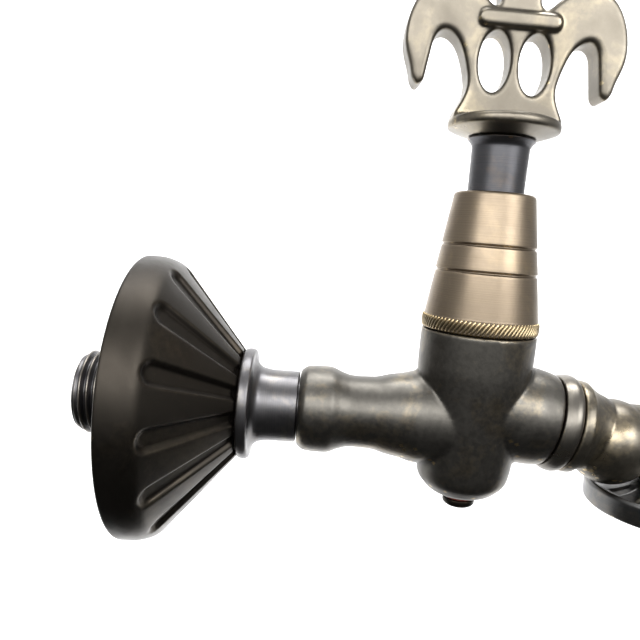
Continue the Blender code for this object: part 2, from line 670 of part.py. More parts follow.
def make_headwork():
    top = HEAD_TUBE_TOP
    hex_top = FLANGE_TOP + HEAD_HEX
    journal_bore = JOURNAL_R + GAP
    packing_bore = PACKING_R + GAP
    stem_bore = SPINDLE_STEM_R + GAP
    cage_bore = DISC_CERAMIC_R + GAP
    head = solid_turned("headwork", [
        (HEAD_TUBE_R - 0.4, top), (HEAD_TUBE_R, top - 0.4), (HEAD_TUBE_R, FLANGE_TOP),
        (HEAD_FLANGE_R - 0.3, FLANGE_TOP), (HEAD_FLANGE_R, FLANGE_TOP - 0.3), (HEAD_FLANGE_R, FLANGE_FOOT),
        (HEAD_THREAD_R, FLANGE_FOOT), (HEAD_THREAD_R, HEAD_FOOT + 0.5), (HEAD_THREAD_R - 0.5, HEAD_FOOT),
        (CAGE_R, HEAD_FOOT), (CAGE_R, FIXED_FOOT)], finish="brass", steps=28, **ON_VALVE)
    join(head, prism("headwork_hexagon", polygon(HEAD_HEX_R, 6), FLANGE_TOP - 1.0, hex_top,
                     place=frame_at((VALVE_X, 0, 0), (0, 0, 1))))
    cut(head, solid_turned("headwork_bore", [
        (packing_bore, top + OVERCUT), (packing_bore, PACKING_FOOT - GAP), (stem_bore, PACKING_FOOT - GAP),
        (stem_bore, HEAD_SHOULDER), (journal_bore, HEAD_SHOULDER), (journal_bore, HEAD_FOOT + 1.5),
        (cage_bore, HEAD_FOOT), (cage_bore, FIXED_FOOT - OVERCUT)], steps=28, **ON_VALVE))
    low = TURNING_TOP + GAP
    window = [(-CAGE_R - OVERCUT, low), (CAGE_R + OVERCUT, low), (CAGE_R + OVERCUT, HEAD_FOOT - 0.6),
              (-CAGE_R - OVERCUT, HEAD_FOOT - 0.6)]
    cut(head, prism("headwork_window", window, -CAGE_R / 2, CAGE_R / 2,
                    place=Matrix.Translation(Vector((VALVE_X, 0, 0)) * MM) @ UPRIGHT))
    washer_top = COUNTERBORE_Z + GAP + GASKET_THICKNESS
    ring("headwork_gasket", [(HEAD_FLANGE_R, washer_top), (HEAD_FLANGE_R, washer_top - GASKET_THICKNESS)],
         [(HEAD_THREAD_R + GAP, washer_top - GASKET_THICKNESS), (HEAD_THREAD_R + GAP, washer_top)],
         finish="fibre", steps=28, **ON_VALVE)
    return head


def make_spindle():
    spindle = solid_turned("spindle", [
        (SPINDLE_STEM_R - 0.3, SQUARE_FOOT), (SPINDLE_STEM_R, SQUARE_FOOT - 0.3),
        (SPINDLE_STEM_R, JOURNAL_TOP), (JOURNAL_R - 0.4, JOURNAL_TOP), (JOURNAL_R, JOURNAL_TOP - 0.4),
        (JOURNAL_R, JOURNAL_FOOT), (TOE_R, JOURNAL_FOOT - 1.4), (TOE_R, SPINDLE_FOOT + BAR_HEIGHT / 2)],
        finish="brass", steps=28, **ON_VALVE)
    upright = frame_at((VALVE_X, 0, 0), (0, 0, 1))
    bar = [(-BAR_HALF_LENGTH, -BAR_HALF_WIDTH), (BAR_HALF_LENGTH, -BAR_HALF_WIDTH),
           (BAR_HALF_LENGTH, BAR_HALF_WIDTH), (-BAR_HALF_LENGTH, BAR_HALF_WIDTH)]
    join(spindle, prism("spindle_bar", bar, SPINDLE_FOOT, SPINDLE_FOOT + BAR_HEIGHT, place=upright))
    tongue = polygon(TONGUE_HALF * 2 ** 0.5, 4, pi / 4)
    join(spindle, prism("spindle_tongue", tongue, TURNING_TOP - TONGUE, SPINDLE_FOOT + 1.0, place=upright))
    square = polygon(SQUARE_HALF * 2 ** 0.5, 4, pi / 4)
    join(spindle, prism("spindle_square", square, SQUARE_FOOT - 1.0, SQUARE_TOP, place=upright))
    return spindle


def make_gland():
    stem_bore = SPINDLE_STEM_R + GAP
    packing_top = PACKING_FOOT + PACKING_HEIGHT
    ring("packing_ring", [(PACKING_R, packing_top), (PACKING_R, PACKING_FOOT)],
         [(stem_bore, PACKING_FOOT), (stem_bore, packing_top)], finish="rubber", steps=28, **ON_VALVE)
    nut_foot = HEAD_TUBE_TOP - GLAND_SKIRT
    nut_top = nut_foot + GLAND_HEIGHT
    thread_bore = HEAD_TUBE_R + GAP
    return ring("gland_nut", [
        (GLAND_R - 0.6, nut_top), (GLAND_R, nut_top - 0.6), (GLAND_R, nut_foot)],
        [(thread_bore, nut_foot), (thread_bore, HEAD_TUBE_TOP + GAP), (stem_bore, HEAD_TUBE_TOP + GAP),
         (stem_bore, nut_top)], finish="brass", steps=28, **ON_VALVE)


# ---- shroud and handle ------------------------------------------------------------------

def shroud_radius(height):
    """Outer radius at a height above the shroud's foot."""
    return SHROUD_BASE_R - SHROUD_TAPER * (height - KNURL_HEIGHT)


def make_shroud():
    foot = SHROUD_FOOT
    top_r = shroud_radius(SHROUD_HEIGHT)
    outer = [(top_r - 0.9, SHROUD_TOP), (top_r - 0.25, SHROUD_TOP - 0.25), (top_r, SHROUD_TOP - 0.9)]
    for height in reversed(GROOVE_HEIGHTS):
        r = shroud_radius(height)
        outer += [(r, foot + height + GROOVE_HALF), (r - GROOVE_DEPTH, foot + height + 0.15),
                  (r - GROOVE_DEPTH, foot + height - 0.15), (r, foot + height - GROOVE_HALF)]
    outer += [(shroud_radius(KNURL_HEIGHT), foot + KNURL_HEIGHT), (KNURL_R - 0.1, foot + KNURL_HEIGHT),
              (KNURL_R, foot + KNURL_HEIGHT - 0.3), (KNURL_R, foot + 0.4), (KNURL_R - 0.4, foot)]
    thread_r = HEAD_FLANGE_R + GAP
    inner_low = shroud_radius(SHROUD_THREAD) - SHROUD_WALL
    inner_top = shroud_radius(SHROUD_HEIGHT) - SHROUD_WALL
    hole_r = SLEEVE_R + GAP
    inner = [(thread_r, foot), (thread_r, FLANGE_TOP + GAP), (inner_low, FLANGE_TOP + GAP + 0.4),
             (inner_top, SHROUD_TOP - SHROUD_WALL), (hole_r, SHROUD_TOP - SHROUD_WALL), (hole_r, SHROUD_TOP)]
    return ring("shroud", outer, inner, finish="bronze_gold", steps=28, **ON_VALVE)


def make_handle_sleeve():
    bore = SPINDLE_STEM_R + GAP
    square_bore = max(bore, SQUARE_HALF * 2 ** 0.5 + GAP)
    outer = [(SLEEVE_FLARE_R, SLEEVE_TOP), (SLEEVE_FLARE_R - 0.9, SLEEVE_TOP - 0.5),
             (SLEEVE_R + 0.1, SLEEVE_NECK_TOP), (SLEEVE_R, SLEEVE_NECK_TOP - 0.6),
             (SLEEVE_R, SLEEVE_FOOT + 0.4), (SLEEVE_R - 0.4, SLEEVE_FOOT)]
    inner = [(square_bore, SLEEVE_FOOT), (square_bore, SLEEVE_TOP)]
    return ring("handle_sleeve", outer, inner, finish="bronze_blue", steps=28, **ON_VALVE)


def smooth_outline(name, splines, half_thickness, rounding):
    """A flat shape from closed Bezier loops of (x, z, turn, reach) knots, with rounded rims."""
    curve = bpy.data.curves.new(name, "CURVE")
    curve.dimensions = "2D"
    curve.fill_mode = "BOTH"
    curve.extrude = (half_thickness - rounding) * MM
    curve.bevel_depth = rounding * MM
    curve.bevel_resolution = 1
    curve.offset = -rounding * MM
    for knots in splines:
        line = curve.splines.new("BEZIER")
        line.resolution_u = 4
        line.use_cyclic_u = True
        line.bezier_points.add(len(knots) - 1)
        for point, (x, z, turn, back, ahead) in zip(line.bezier_points, knots):
            way = Vector((cos(radians(turn)), sin(radians(turn)), 0))
            spot = Vector((x, z, 0))
            point.co = spot * MM
            point.handle_left_type = "FREE"
            point.handle_right_type = "FREE"
            point.handle_left = (spot - way * back) * MM
            point.handle_right = (spot + way * ahead) * MM
    shape = mesh_from_curve(name, curve)
    shape.matrix_world = Matrix.Translation(Vector((VALVE_X, 0, DISC_TOP)) * MM) @ UPRIGHT
    return shape


def mirrored(knots):
    """The right half's knots, followed by the same knots on the left, in reverse."""
    left = [(-x, z, -turn, ahead, back) for x, z, turn, back, ahead in reversed(knots) if x > 0.01]
    return [*knots, *left]


def oval(x, z, half_width, half_height, turn=0.0):
    grip = 0.552
    return [(x + half_width, z, 90, grip * half_height, grip * half_height),
            (x, z + half_height, 180, grip * half_width, grip * half_width),
            (x - half_width, z, 270, grip * half_height, grip * half_height),
            (x, z - half_height, 0, grip * half_width, grip * half_width)]


# right half of the fleur-de-lis, from its foot round to its point: x from the axis,
# height above the disc, the outline's heading in degrees, and the two handle lengths
FLEUR_KNOTS = [
    (12.9, -1.6, 90, 0.5, 0.9), (12.7, 0.6, 106, 0.8, 1.2), (10.4, 6.8, 92, 2.6, 1.3),
    (11.4, 11.8, 72, 2.0, 2.0), (14.8, 17.6, 34, 2.2, 1.6), (18.4, 17.4, -52, 1.4, 1.6),
    (19.8, 12.4, -80, 2.0, 2.0), (20.6, 7.4, -80, 1.4, 0.6), (22.3, 5.9, 20, 0.7, 0.6),
    (23.8, 8.4, 82, 1.0, 2.2), (25.8, 16.0, 88, 3.0, 3.4), (22.6, 26.4, 128, 3.6, 3.2),
    (14.6, 29.6, 188, 3.4, 2.6), (8.0, 25.8, 226, 2.4, 1.2), (5.6, 24.4, 150, 0.6, 1.2),
    (4.6, 27.4, 82, 1.4, 1.6), (6.6, 32.6, 74, 2.4, 2.4), (3.8, 40.4, 122, 2.6, 1.6),
    (0.0, 44.4, 180, 1.0, 1.0),
]
WINDOW = {"x": 4.7, "z": 12.4, "half_width": 3.7, "half_height": 6.8}
CLASP = {"half_width": 9.6, "foot": 19.6, "height": 3.6, "proud": 0.9}


def make_handle():
    disc = solid_turned("handle", [
        (DISC_R - 2.0, DISC_TOP), (DISC_R - 0.7, DISC_TOP - 0.2), (DISC_R - 0.1, DISC_TOP - 0.8),
        (DISC_R, DISC_RIM_FOOT + 0.8), (DISC_R - 0.5, DISC_RIM_FOOT), (DISC_R - 1.3, DISC_RIM_FOOT - 0.2),
        (SLEEVE_FLARE_R + 0.4, DISC_FOOT + 0.1), (SLEEVE_FLARE_R, DISC_FOOT)],
        finish="bronze", steps=40, **ON_VALVE)
    windows = [oval(side * WINDOW["x"], WINDOW["z"], WINDOW["half_width"], WINDOW["half_height"])
               for side in (-1, 1)]
    fleur = smooth_outline("handle_fleur", [mirrored(FLEUR_KNOTS), *windows], PLATE_HALF, PLATE_ROUND)
    half = CLASP["half_width"]
    round_r = CLASP["height"] / 2
    mid = CLASP["foot"] + round_r
    ends = [*arc((half - round_r, mid), round_r, -90, 90, 8),
            *arc((round_r - half, mid), round_r, 90, 270, 8)]
    place = Matrix.Translation(Vector((VALVE_X, 0, DISC_TOP)) * MM) @ UPRIGHT
    reach = PLATE_HALF + CLASP["proud"]
    clasp = prism("handle_clasp", ends, -reach, reach, place=place)
    join(disc, fleur)
    join(disc, clasp)
    hole = polygon((SQUARE_HALF + GAP) * 2 ** 0.5, 4, pi / 4)
    cut(disc, prism("handle_square", hole, DISC_FOOT - OVERCUT, SQUARE_TOP + GAP,
                    place=frame_at((VALVE_X, 0, 0), (0, 0, 1))))
    grub_z = (DISC_RIM_FOOT + DISC_TOP) / 2 - 0.1
    grub = {"origin": (VALVE_X, 0, grub_z), "direction": (0, 1, 0)}
    cut(disc, rod("handle_grub_hole", GRUB_R + GAP, SQUARE_HALF, DISC_R + OVERCUT, steps=20, **grub))
    start = SQUARE_HALF + 2 * GAP
    screw = solid_turned("handle_grub_screw", [(GRUB_R, start + GRUB_LENGTH), (GRUB_R, start + 0.3),
                                               (GRUB_R - 0.3, start)], finish="steel", steps=20, **grub)
    cut(screw, prism("grub_hex_socket", polygon(GRUB_SOCKET_R, 6), start + GRUB_LENGTH - 1.5,
                     start + GRUB_LENGTH + OVERCUT, place=frame_at(grub["origin"], grub["direction"])))
    return disc


# ---- outlet -----------------------------------------------------------------------------

def make_outlet_ring():
    """A broad, softly crowned ring that meets the branch and the spout's band nearly flush."""
    edge = LOCK_RING_R - 0.9
    crown = [(edge + 0.1, RING_END), (LOCK_RING_R - 0.2, RING_END - 0.6), (LOCK_RING_R, RING_END - 1.5),
             (LOCK_RING_R - 0.1, RING_START + 2.0), (LOCK_RING_R - 0.5, RING_START + 0.8), (edge, RING_START)]
    bore = SPOUT_TAIL_R + GAP
    return ring("outlet_lock_ring", crown, [(bore, RING_START), (bore, RING_END)],
                finish="bronze_blue", steps=28, **ON_BRANCH)


def elbow_path():
    """Points of the waterway: down the branch's axis, through the ball and round the bend."""
    bend_x = SPOUT_X - ELBOW_BEND
    bend = arc((bend_x, ELBOW_TOP - ELBOW_BEND), ELBOW_BEND, 90, 0, 8)
    return bend_x, bend


def make_spout():
    neck_end = BAND_END + SPOUT_NECK
    spout = solid_turned("spout", [
        (SPOUT_NECK_R - 1.6, neck_end + 3.0), (SPOUT_NECK_R, neck_end), (SPOUT_NECK_R + 0.7, neck_end - 3.1),
        (SPOUT_NECK_R + 1.5, BAND_END + 1.1), (BAND_R - 0.6, BAND_END), (BAND_R, BAND_END - 0.7),
        (BAND_R, BAND_START + 0.5), (BAND_R - 0.5, BAND_START), (SPOUT_TAIL_R, BAND_START),
        (SPOUT_TAIL_R, BRANCH_LENGTH - SPOUT_TAIL + 0.4), (SPOUT_TAIL_R - 0.4, BRANCH_LENGTH - SPOUT_TAIL)],
        finish="bronze", steps=28, **ON_BRANCH)
    bpy.ops.mesh.primitive_uv_sphere_add(segments=32, ring_count=16, radius=BALL_R * MM,
                                         location=(BALL_X * MM, 0, BALL_Z * MM))
    ball = bpy.context.object
    ball.name = "spout_ball"
    for collection in list(ball.users_collection):
        collection.objects.unlink(ball)
    CUTTERS.objects.link(ball)
    ball.hide_render = True
    ball.display_type = "WIRE"
    join(spout, ball)
    bend_x, bend = elbow_path()
    outside = [(BALL_X + 1.0, ELBOW_TOP), *bend, (SPOUT_X, ELBOW_END)]
    join(spout, tube_cutter("spout_elbow", outside, ELBOW_R, 5))
    join(spout, rod("spout_spigot", OUTLET_SPIGOT_R, SPIGOT_END, ELBOW_END + 3.0, steps=28, **ON_OUTLET))
    waterway = [along_branch(BRANCH_LENGTH - SPOUT_TAIL - OVERCUT), along_branch(BAND_START),
                along_branch(neck_end), *bend, (SPOUT_X, SPIGOT_END - OVERCUT)]
    cut(spout, tube_cutter("spout_waterway", waterway, SPOUT_BORE_R, 3))
    return spout


def skirt_point(distance, height=0.0):
    """(z, radius) on the skirt's dished top, measured from the neck outwards."""
    inside = SKIRT_NECK_R + 1.6
    outside = SKIRT_R - 3.2
    fall = (distance / (outside - inside)) * 1.3
    return SKIRT_GROOVE + 1.4 - fall + height, inside + distance


def make_skirt():
    groove_r = SKIRT_R - 2.4
    top = SKIRT_GROOVE
    outer = [(SKIRT_NECK_R - 0.3, SKIRT_TOP), (SKIRT_NECK_R, SKIRT_TOP - 0.3),
             (SKIRT_NECK_R, SKIRT_TOP - 1.1), (SKIRT_NECK_R + 1.4, top + 1.5),
             (SKIRT_NECK_R + 4.0, top + 0.7), (groove_r - 2.5, top + 0.15),
             (groove_r - 0.3, top), (groove_r, top - 0.6),
             (groove_r + 0.3, top), (SKIRT_R - 0.9, top + 1.3), (SKIRT_R - 0.5, top + 1.2),
             (SKIRT_R, top + 0.5), (SKIRT_R - 0.4, SKIRT_FOOT + 0.6), (SKIRT_R - 0.9, SKIRT_FOOT)]
    bore = OUTLET_SPIGOT_R + GAP
    cavity_r = SKIRT_R - SKIRT_WALL - 0.9
    inner = [(cavity_r, SKIRT_FOOT), (cavity_r, SKIRT_UNDER - 1.8), (cavity_r - 1.2, SKIRT_UNDER - 0.9),
             (NIPPLE_HUB_R + GAP + 0.6, SKIRT_UNDER), (bore, SKIRT_UNDER), (bore, SKIRT_TOP)]
    skirt = ring("spout_skirt", outer, inner, finish="bronze_blue", steps=36, **ON_OUTLET)

    def place(axial, r, across, turn):
        out = (cos(turn), sin(turn))
        return (SPOUT_X + r * out[0] - across * out[1], r * out[1] + across * out[0], axial)

    length = SKIRT_R - 3.2 - SKIRT_NECK_R - 1.6
    flutes = flute_cutters("skirt_flutes", SKIRT_FLUTES, 15.0, skirt_point, length, 1.9, 1.2, 0.45, place)
    return cut(skirt, flutes)


def make_hose_nipple():
    root_r = HOSE_THREAD_R - HOSE_THREAD_DEPTH
    thread_foot = NIPPLE_THREAD_TOP - HOSE_THREAD
    hub_foot = NIPPLE_TOP - NIPPLE_HUB
    outline = [(NIPPLE_HUB_R - 0.4, NIPPLE_TOP), (NIPPLE_HUB_R, NIPPLE_TOP - 0.4), (NIPPLE_HUB_R, hub_foot),
               (root_r - 0.2, hub_foot), (root_r - 0.2, NIPPLE_FOOT)]
    nipple = solid_turned("hose_nipple", outline, finish="bronze", steps=28, **ON_OUTLET)
    thread = threaded_rod("hose_thread", HOSE_THREAD_R, HOSE_THREAD_DEPTH, HOSE_PITCH,
                          thread_foot, NIPPLE_THREAD_TOP, **ON_OUTLET)
    keep_common(thread, solid_turned("hose_thread_blank", [
        (root_r - 0.4, NIPPLE_THREAD_TOP), (HOSE_THREAD_R + 0.2, NIPPLE_THREAD_TOP - 1.2),
        (HOSE_THREAD_R + 0.2, thread_foot + 1.2), (root_r - 0.4, thread_foot)], steps=36, **ON_OUTLET))
    join(nipple, thread)
    cut(nipple, solid_turned("nipple_bore", [
        (OUTLET_SPIGOT_R + GAP, NIPPLE_TOP + OVERCUT), (OUTLET_SPIGOT_R + GAP, NIPPLE_SOCKET),
        (NIPPLE_BORE_R, NIPPLE_SOCKET), (NIPPLE_BORE_R, NIPPLE_FOOT - OVERCUT)], steps=28, **ON_OUTLET))
    gasket_top = SPIGOT_END - GAP
    gasket_foot = NIPPLE_SOCKET + GAP
    ring("nipple_gasket", [(OUTLET_SPIGOT_R, gasket_top), (OUTLET_SPIGOT_R, gasket_foot)],
         [(NIPPLE_BORE_R, gasket_foot), (NIPPLE_BORE_R, gasket_top)], finish="rubber", steps=28, **ON_OUTLET)
    return nipple


def close_seams():
    """Merges the doubled points that Booleans leave along their seams."""
    for made in PARTS.objects:
        weld = made.modifiers.new("close seams", "WELD")
        weld.merge_threshold = MERGE


make_wall_flange()
make_inlet_tailpiece()
make_valve_body()
make_seal()
make_drain_plug()
make_discs()
make_headwork()
make_spindle()
make_gland()
make_shroud()
make_handle_sleeve()
make_handle()
make_outlet_ring()
make_spout()
make_skirt()
make_hose_nipple()
close_seams()
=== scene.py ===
# %% [markdown]
# # An antique bronze hose bib
# A hose bib is a garden tap that screws into a wall. Water comes in through the threaded
# tail, the spindle turns one ceramic disc over another until their ports meet, and the water
# leaves through the hose thread. This lesson dresses a finished mechanical model: each rough
# solid is replaced by a finely made piece in the same place, and each finish is mixed from
# nodes.

from math import atan2, cos, hypot, pi, radians, sin

import bmesh
import bpy
from mathutils import Matrix, Vector


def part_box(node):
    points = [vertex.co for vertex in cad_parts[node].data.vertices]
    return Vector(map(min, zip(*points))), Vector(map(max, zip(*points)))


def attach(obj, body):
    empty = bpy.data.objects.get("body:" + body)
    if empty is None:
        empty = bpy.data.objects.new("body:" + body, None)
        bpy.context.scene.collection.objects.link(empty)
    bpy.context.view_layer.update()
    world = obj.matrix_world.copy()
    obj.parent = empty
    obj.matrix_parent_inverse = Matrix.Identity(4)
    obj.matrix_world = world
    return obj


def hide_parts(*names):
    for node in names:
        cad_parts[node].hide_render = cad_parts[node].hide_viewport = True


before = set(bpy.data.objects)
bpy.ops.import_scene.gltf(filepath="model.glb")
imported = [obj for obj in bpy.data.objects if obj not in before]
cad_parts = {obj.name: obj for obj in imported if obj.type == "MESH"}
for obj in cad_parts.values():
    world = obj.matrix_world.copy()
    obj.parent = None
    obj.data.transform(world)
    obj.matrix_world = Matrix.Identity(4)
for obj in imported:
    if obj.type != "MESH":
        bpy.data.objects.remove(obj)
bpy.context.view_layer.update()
MM = 0.001

# %% [markdown]
# ## The axes everything is turned about
# Almost every piece came off a lathe, so it is round about one of four lines: the inlet,
# the valve, the drooping branch, or the outlet. The valve and outlet lines are placed from
# the model's shroud and skirt. The inlet, the droop and the branch's height are given.

# %% Four axes
def middle(node):
    low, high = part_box(node)
    return (low + high) / 2 / MM


def frame_at(origin, direction):
    turn = Vector((0, 0, 1)).rotation_difference(Vector(direction))
    return Matrix.Translation(Vector(origin) * MM) @ turn.to_matrix().to_4x4()


VALVE_X = middle("shroud").x
OUTLET_X = middle("spout_skirt").x
DROOP = radians(9.0)
BRANCH_Z = 4.75
INLET = frame_at((0, 0, 0), (1, 0, 0))
VALVE = frame_at((VALVE_X, 0, 0), (0, 0, 1))
BRANCH = frame_at((VALVE_X, 0, BRANCH_Z), (cos(DROOP), 0, -sin(DROOP)))
OUTLET = frame_at((OUTLET_X, 0, 0), (0, 0, 1))
print(f"valve axis at x = {VALVE_X:.1f} mm, outlet axis at x = {OUTLET_X:.1f} mm")

# %% [markdown]
# ## The camera
# The camera stands a little above the tap and close to it, so the outlet looks larger than
# the flange. Pitch, yaw and roll are its three turns, and the shift keeps the framing.

# %% Camera
CAMERA_AT = Vector((44.558, -154.488, 42.409))
PITCH = 0.168998
YAW = -0.030431
ROLL = 0.083997
LENS = 34.73
SHIFT = (-0.0306, 0.0444)


def place_camera():
    data = bpy.data.cameras.new("camera")
    data.sensor_width = 36.0
    data.lens = LENS
    data.shift_x, data.shift_y = SHIFT
    data.clip_start = 0.01
    data.clip_end = 20.0
    camera = bpy.data.objects.new("camera", data)
    bpy.context.scene.collection.objects.link(camera)
    base = Matrix(((1, 0, 0), (0, 0, -1), (0, 1, 0)))
    turn = Matrix.Rotation(ROLL, 3, "Z") @ Matrix.Rotation(PITCH, 3, "X") @ Matrix.Rotation(YAW, 3, "Y")
    rows = turn @ base
    axes = Matrix((rows[0], -rows[1], -rows[2])).transposed()
    camera.matrix_world = Matrix.Translation(CAMERA_AT * MM) @ axes.to_4x4()
    bpy.context.scene.camera = camera
    return camera


place_camera()
print("camera at", [round(c) for c in CAMERA_AT], "mm")

# %% [markdown]
# ## Mixing a finish
# Antique bronze is brass darkened by a chemical bath, then rubbed back. It is darkest in
# the hollows, brown on open faces and gold where hands and wheels reach: edges and rims,
# where the gold is also a painted highlight.
# One recipe mixes the three tones with noise and with the mesh's own pointiness, which is
# high on ridges and low in hollows. Cast pieces add a sand grain, and turned pieces add
# fine lines round their axis.

# %% Node helpers
def linear(hex_colour):
    parts = []
    for i in (0, 2, 4):
        level = int(hex_colour[i:i + 2], 16) / 255
        parts.append(level / 12.92 if level <= 0.04045 else ((level + 0.055) / 1.055) ** 2.4)
    return (*parts, 1.0)


def add(tree, kind, settings=None, values=None, links=None):
    node = tree.nodes.new(kind)
    for key, value in (settings or {}).items():
        setattr(node, key, value)
    for key, value in (values or {}).items():
        node.inputs[key].default_value = value
    for key, source in (links or {}).items():
        tree.links.new(source, node.inputs[key])
    return node


def ramp(tree, source, stops):
    node = add(tree, "ShaderNodeValToRGB", links={"Fac": source})
    elements = node.color_ramp.elements
    while len(elements) < len(stops):
        elements.new(0.5)
    for element, (place, level) in zip(elements, stops):
        element.position = place
        element.color = (level, level, level, 1.0)
    return node.outputs["Color"]


def mix(tree, amount, first, second):
    node = add(tree, "ShaderNodeMix", {"data_type": "RGBA"})
    for socket, value in ((node.inputs[0], amount), (node.inputs[6], first), (node.inputs[7], second)):
        if isinstance(value, (tuple, float)):
            socket.default_value = value
        else:
            tree.links.new(value, socket)
    return node.outputs[2]


def calc(tree, operation, *values):
    node = add(tree, "ShaderNodeMath", {"operation": operation})
    for socket, value in zip(node.inputs, values):
        if isinstance(value, float):
            socket.default_value = value
        else:
            tree.links.new(value, socket)
    return node.outputs[0]


print("node helpers: linear, add, ramp, mix and calc")

# %% The bronze recipe
LEAN = {"x": -pi / 2, "branch": -(pi / 2 + DROOP), "z": 0.0}
# Sand and polishing marks are about 0.3 mm across. At 700 to a metre the broadest are drawn
# 1.4 mm across, because real ones are too fine to show.
FINE_SCALE = 700.0


def wear_maps(tree, axis, cloud):
    """Broad patches, fine grain, lathe lines and pointiness."""
    where = add(tree, "ShaderNodeTexCoord").outputs["Object"]
    leaned = add(tree, "ShaderNodeMapping", values={"Rotation": (0.0, LEAN[axis], 0.0)},
                 links={"Vector": where}).outputs["Vector"]
    drift = add(tree, "ShaderNodeTexNoise", values={"Scale": 1000.0 / cloud, "Detail": 6.0,
                "Roughness": 0.62, "Distortion": 0.5}, links={"Vector": leaned}).outputs["Fac"]
    fine = add(tree, "ShaderNodeTexNoise", values={"Scale": FINE_SCALE, "Detail": 4.0,
               "Roughness": 0.6}, links={"Vector": leaned}).outputs["Fac"]
    depth = add(tree, "ShaderNodeSeparateXYZ", links={"Vector": leaned}).outputs["Z"]
    # Height in millimetres, so that five lines to the unit are 0.2 mm apart, about a tool's feed.
    along = calc(tree, "MULTIPLY", depth, 1000.0)
    groove = add(tree, "ShaderNodeTexNoise", {"noise_dimensions": "1D"},
                 {"Scale": 5.0, "Detail": 6.0, "Roughness": 0.8}, {"W": along}).outputs["Fac"]
    ridge = add(tree, "ShaderNodeNewGeometry").outputs["Pointiness"]
    return drift, fine, groove, ridge


def bath_tone(tree, drift, fine, hollow, face, worn_and_highlight, wear_and_highlight, patches):
    """The dark bath, open faces and rubbed places."""
    open_face = ramp(tree, drift, [(0.36, 0.0), (0.62, 1.0)])
    tone = mix(tree, calc(tree, "MULTIPLY", open_face, patches), hollow, face)
    tone = mix(tree, 1.0 - patches, tone, face)
    rubbed = ramp(tree, calc(tree, "ADD", drift, calc(tree, "MULTIPLY", fine, 0.25)),
                  [(0.64, 0.0), (0.94, 1.0)])
    return mix(tree, calc(tree, "MULTIPLY", rubbed, 0.75 * wear_and_highlight), tone, worn_and_highlight)


def tool_marks(tree, tone, fine, groove, hollow, worn_and_highlight, grain, lines):
    """Sand grain on castings and fine lines on turned pieces."""
    if grain > 0:
        specks = ramp(tree, fine, [(0.40, 1.0), (0.54, 0.0)])
        tone = mix(tree, calc(tree, "MULTIPLY", specks, 0.26 * grain), tone, hollow)
    if lines > 0:
        dark_lines = ramp(tree, groove, [(0.34, 1.0), (0.50, 0.0)])
        tone = mix(tree, calc(tree, "MULTIPLY", dark_lines, 0.32 * lines), tone, hollow)
        light_lines = ramp(tree, groove, [(0.54, 0.0), (0.70, 1.0)])
        tone = mix(tree, calc(tree, "MULTIPLY", light_lines, 0.22 * lines), tone, worn_and_highlight)
    return tone


def aged_bronze(name, hollow, face, worn_and_highlight, axis="z", grain=0.0, lines=0.0, rough=0.36, wear_and_highlight=0.5,
                patches=0.5, cloud=11.0):
    """cloud is the size of the colour patches in millimetres; grain and lines are 0 to 1."""
    made = bpy.data.materials.new(name)
    made.use_nodes = True
    tree = made.node_tree
    shader = tree.nodes["Principled BSDF"]
    shader.inputs["Metallic"].default_value = 1.0
    hollow, face, worn_and_highlight = linear(hollow), linear(face), linear(worn_and_highlight)
    drift, fine, groove, ridge = wear_maps(tree, axis, cloud)

    tone = bath_tone(tree, drift, fine, hollow, face, worn_and_highlight, wear_and_highlight, patches)
    tone = tool_marks(tree, tone, fine, groove, hollow, worn_and_highlight, grain, lines)
    dirt = ramp(tree, ridge, [(0.44, 1.0), (0.497, 0.0)])
    tone = mix(tree, calc(tree, "MULTIPLY", dirt, 0.85), tone, hollow)
    # Convex edges, high in pointiness, are painted in the worn tone: partly rubbed-through brass, partly a
    # painted highlight.
    worn_edge_and_highlight = ramp(tree, calc(tree, "ADD", ridge, calc(tree, "MULTIPLY", fine, 0.04)),
                [(0.540, 0.0), (0.64, 1.0)])
    tone = mix(tree, calc(tree, "MULTIPLY", worn_edge_and_highlight, min(1.0, 1.6 * wear_and_highlight)), tone, worn_and_highlight)
    tree.links.new(tone, shader.inputs["Base Color"])

    gloss = ramp(tree, drift, [(0.3, rough + 0.10), (0.7, rough - 0.06)])
    gloss = calc(tree, "ADD", gloss, calc(tree, "MULTIPLY", calc(tree, "SUBTRACT", fine, 0.5), 0.12))
    gloss = calc(tree, "SUBTRACT", gloss, calc(tree, "MULTIPLY", worn_edge_and_highlight, 0.08))
    tree.links.new(gloss, shader.inputs["Roughness"])
    height = calc(tree, "ADD", calc(tree, "MULTIPLY", fine, 0.35 + grain),
                  calc(tree, "MULTIPLY", groove, 0.9 * lines))
    bump = add(tree, "ShaderNodeBump", values={"Strength": 0.22 + 0.22 * grain, "Distance": 0.00008},
               links={"Height": height})
    tree.links.new(bump.outputs["Normal"], shader.inputs["Normal"])
    return made


print("recipe leans:", ", ".join(LEAN))
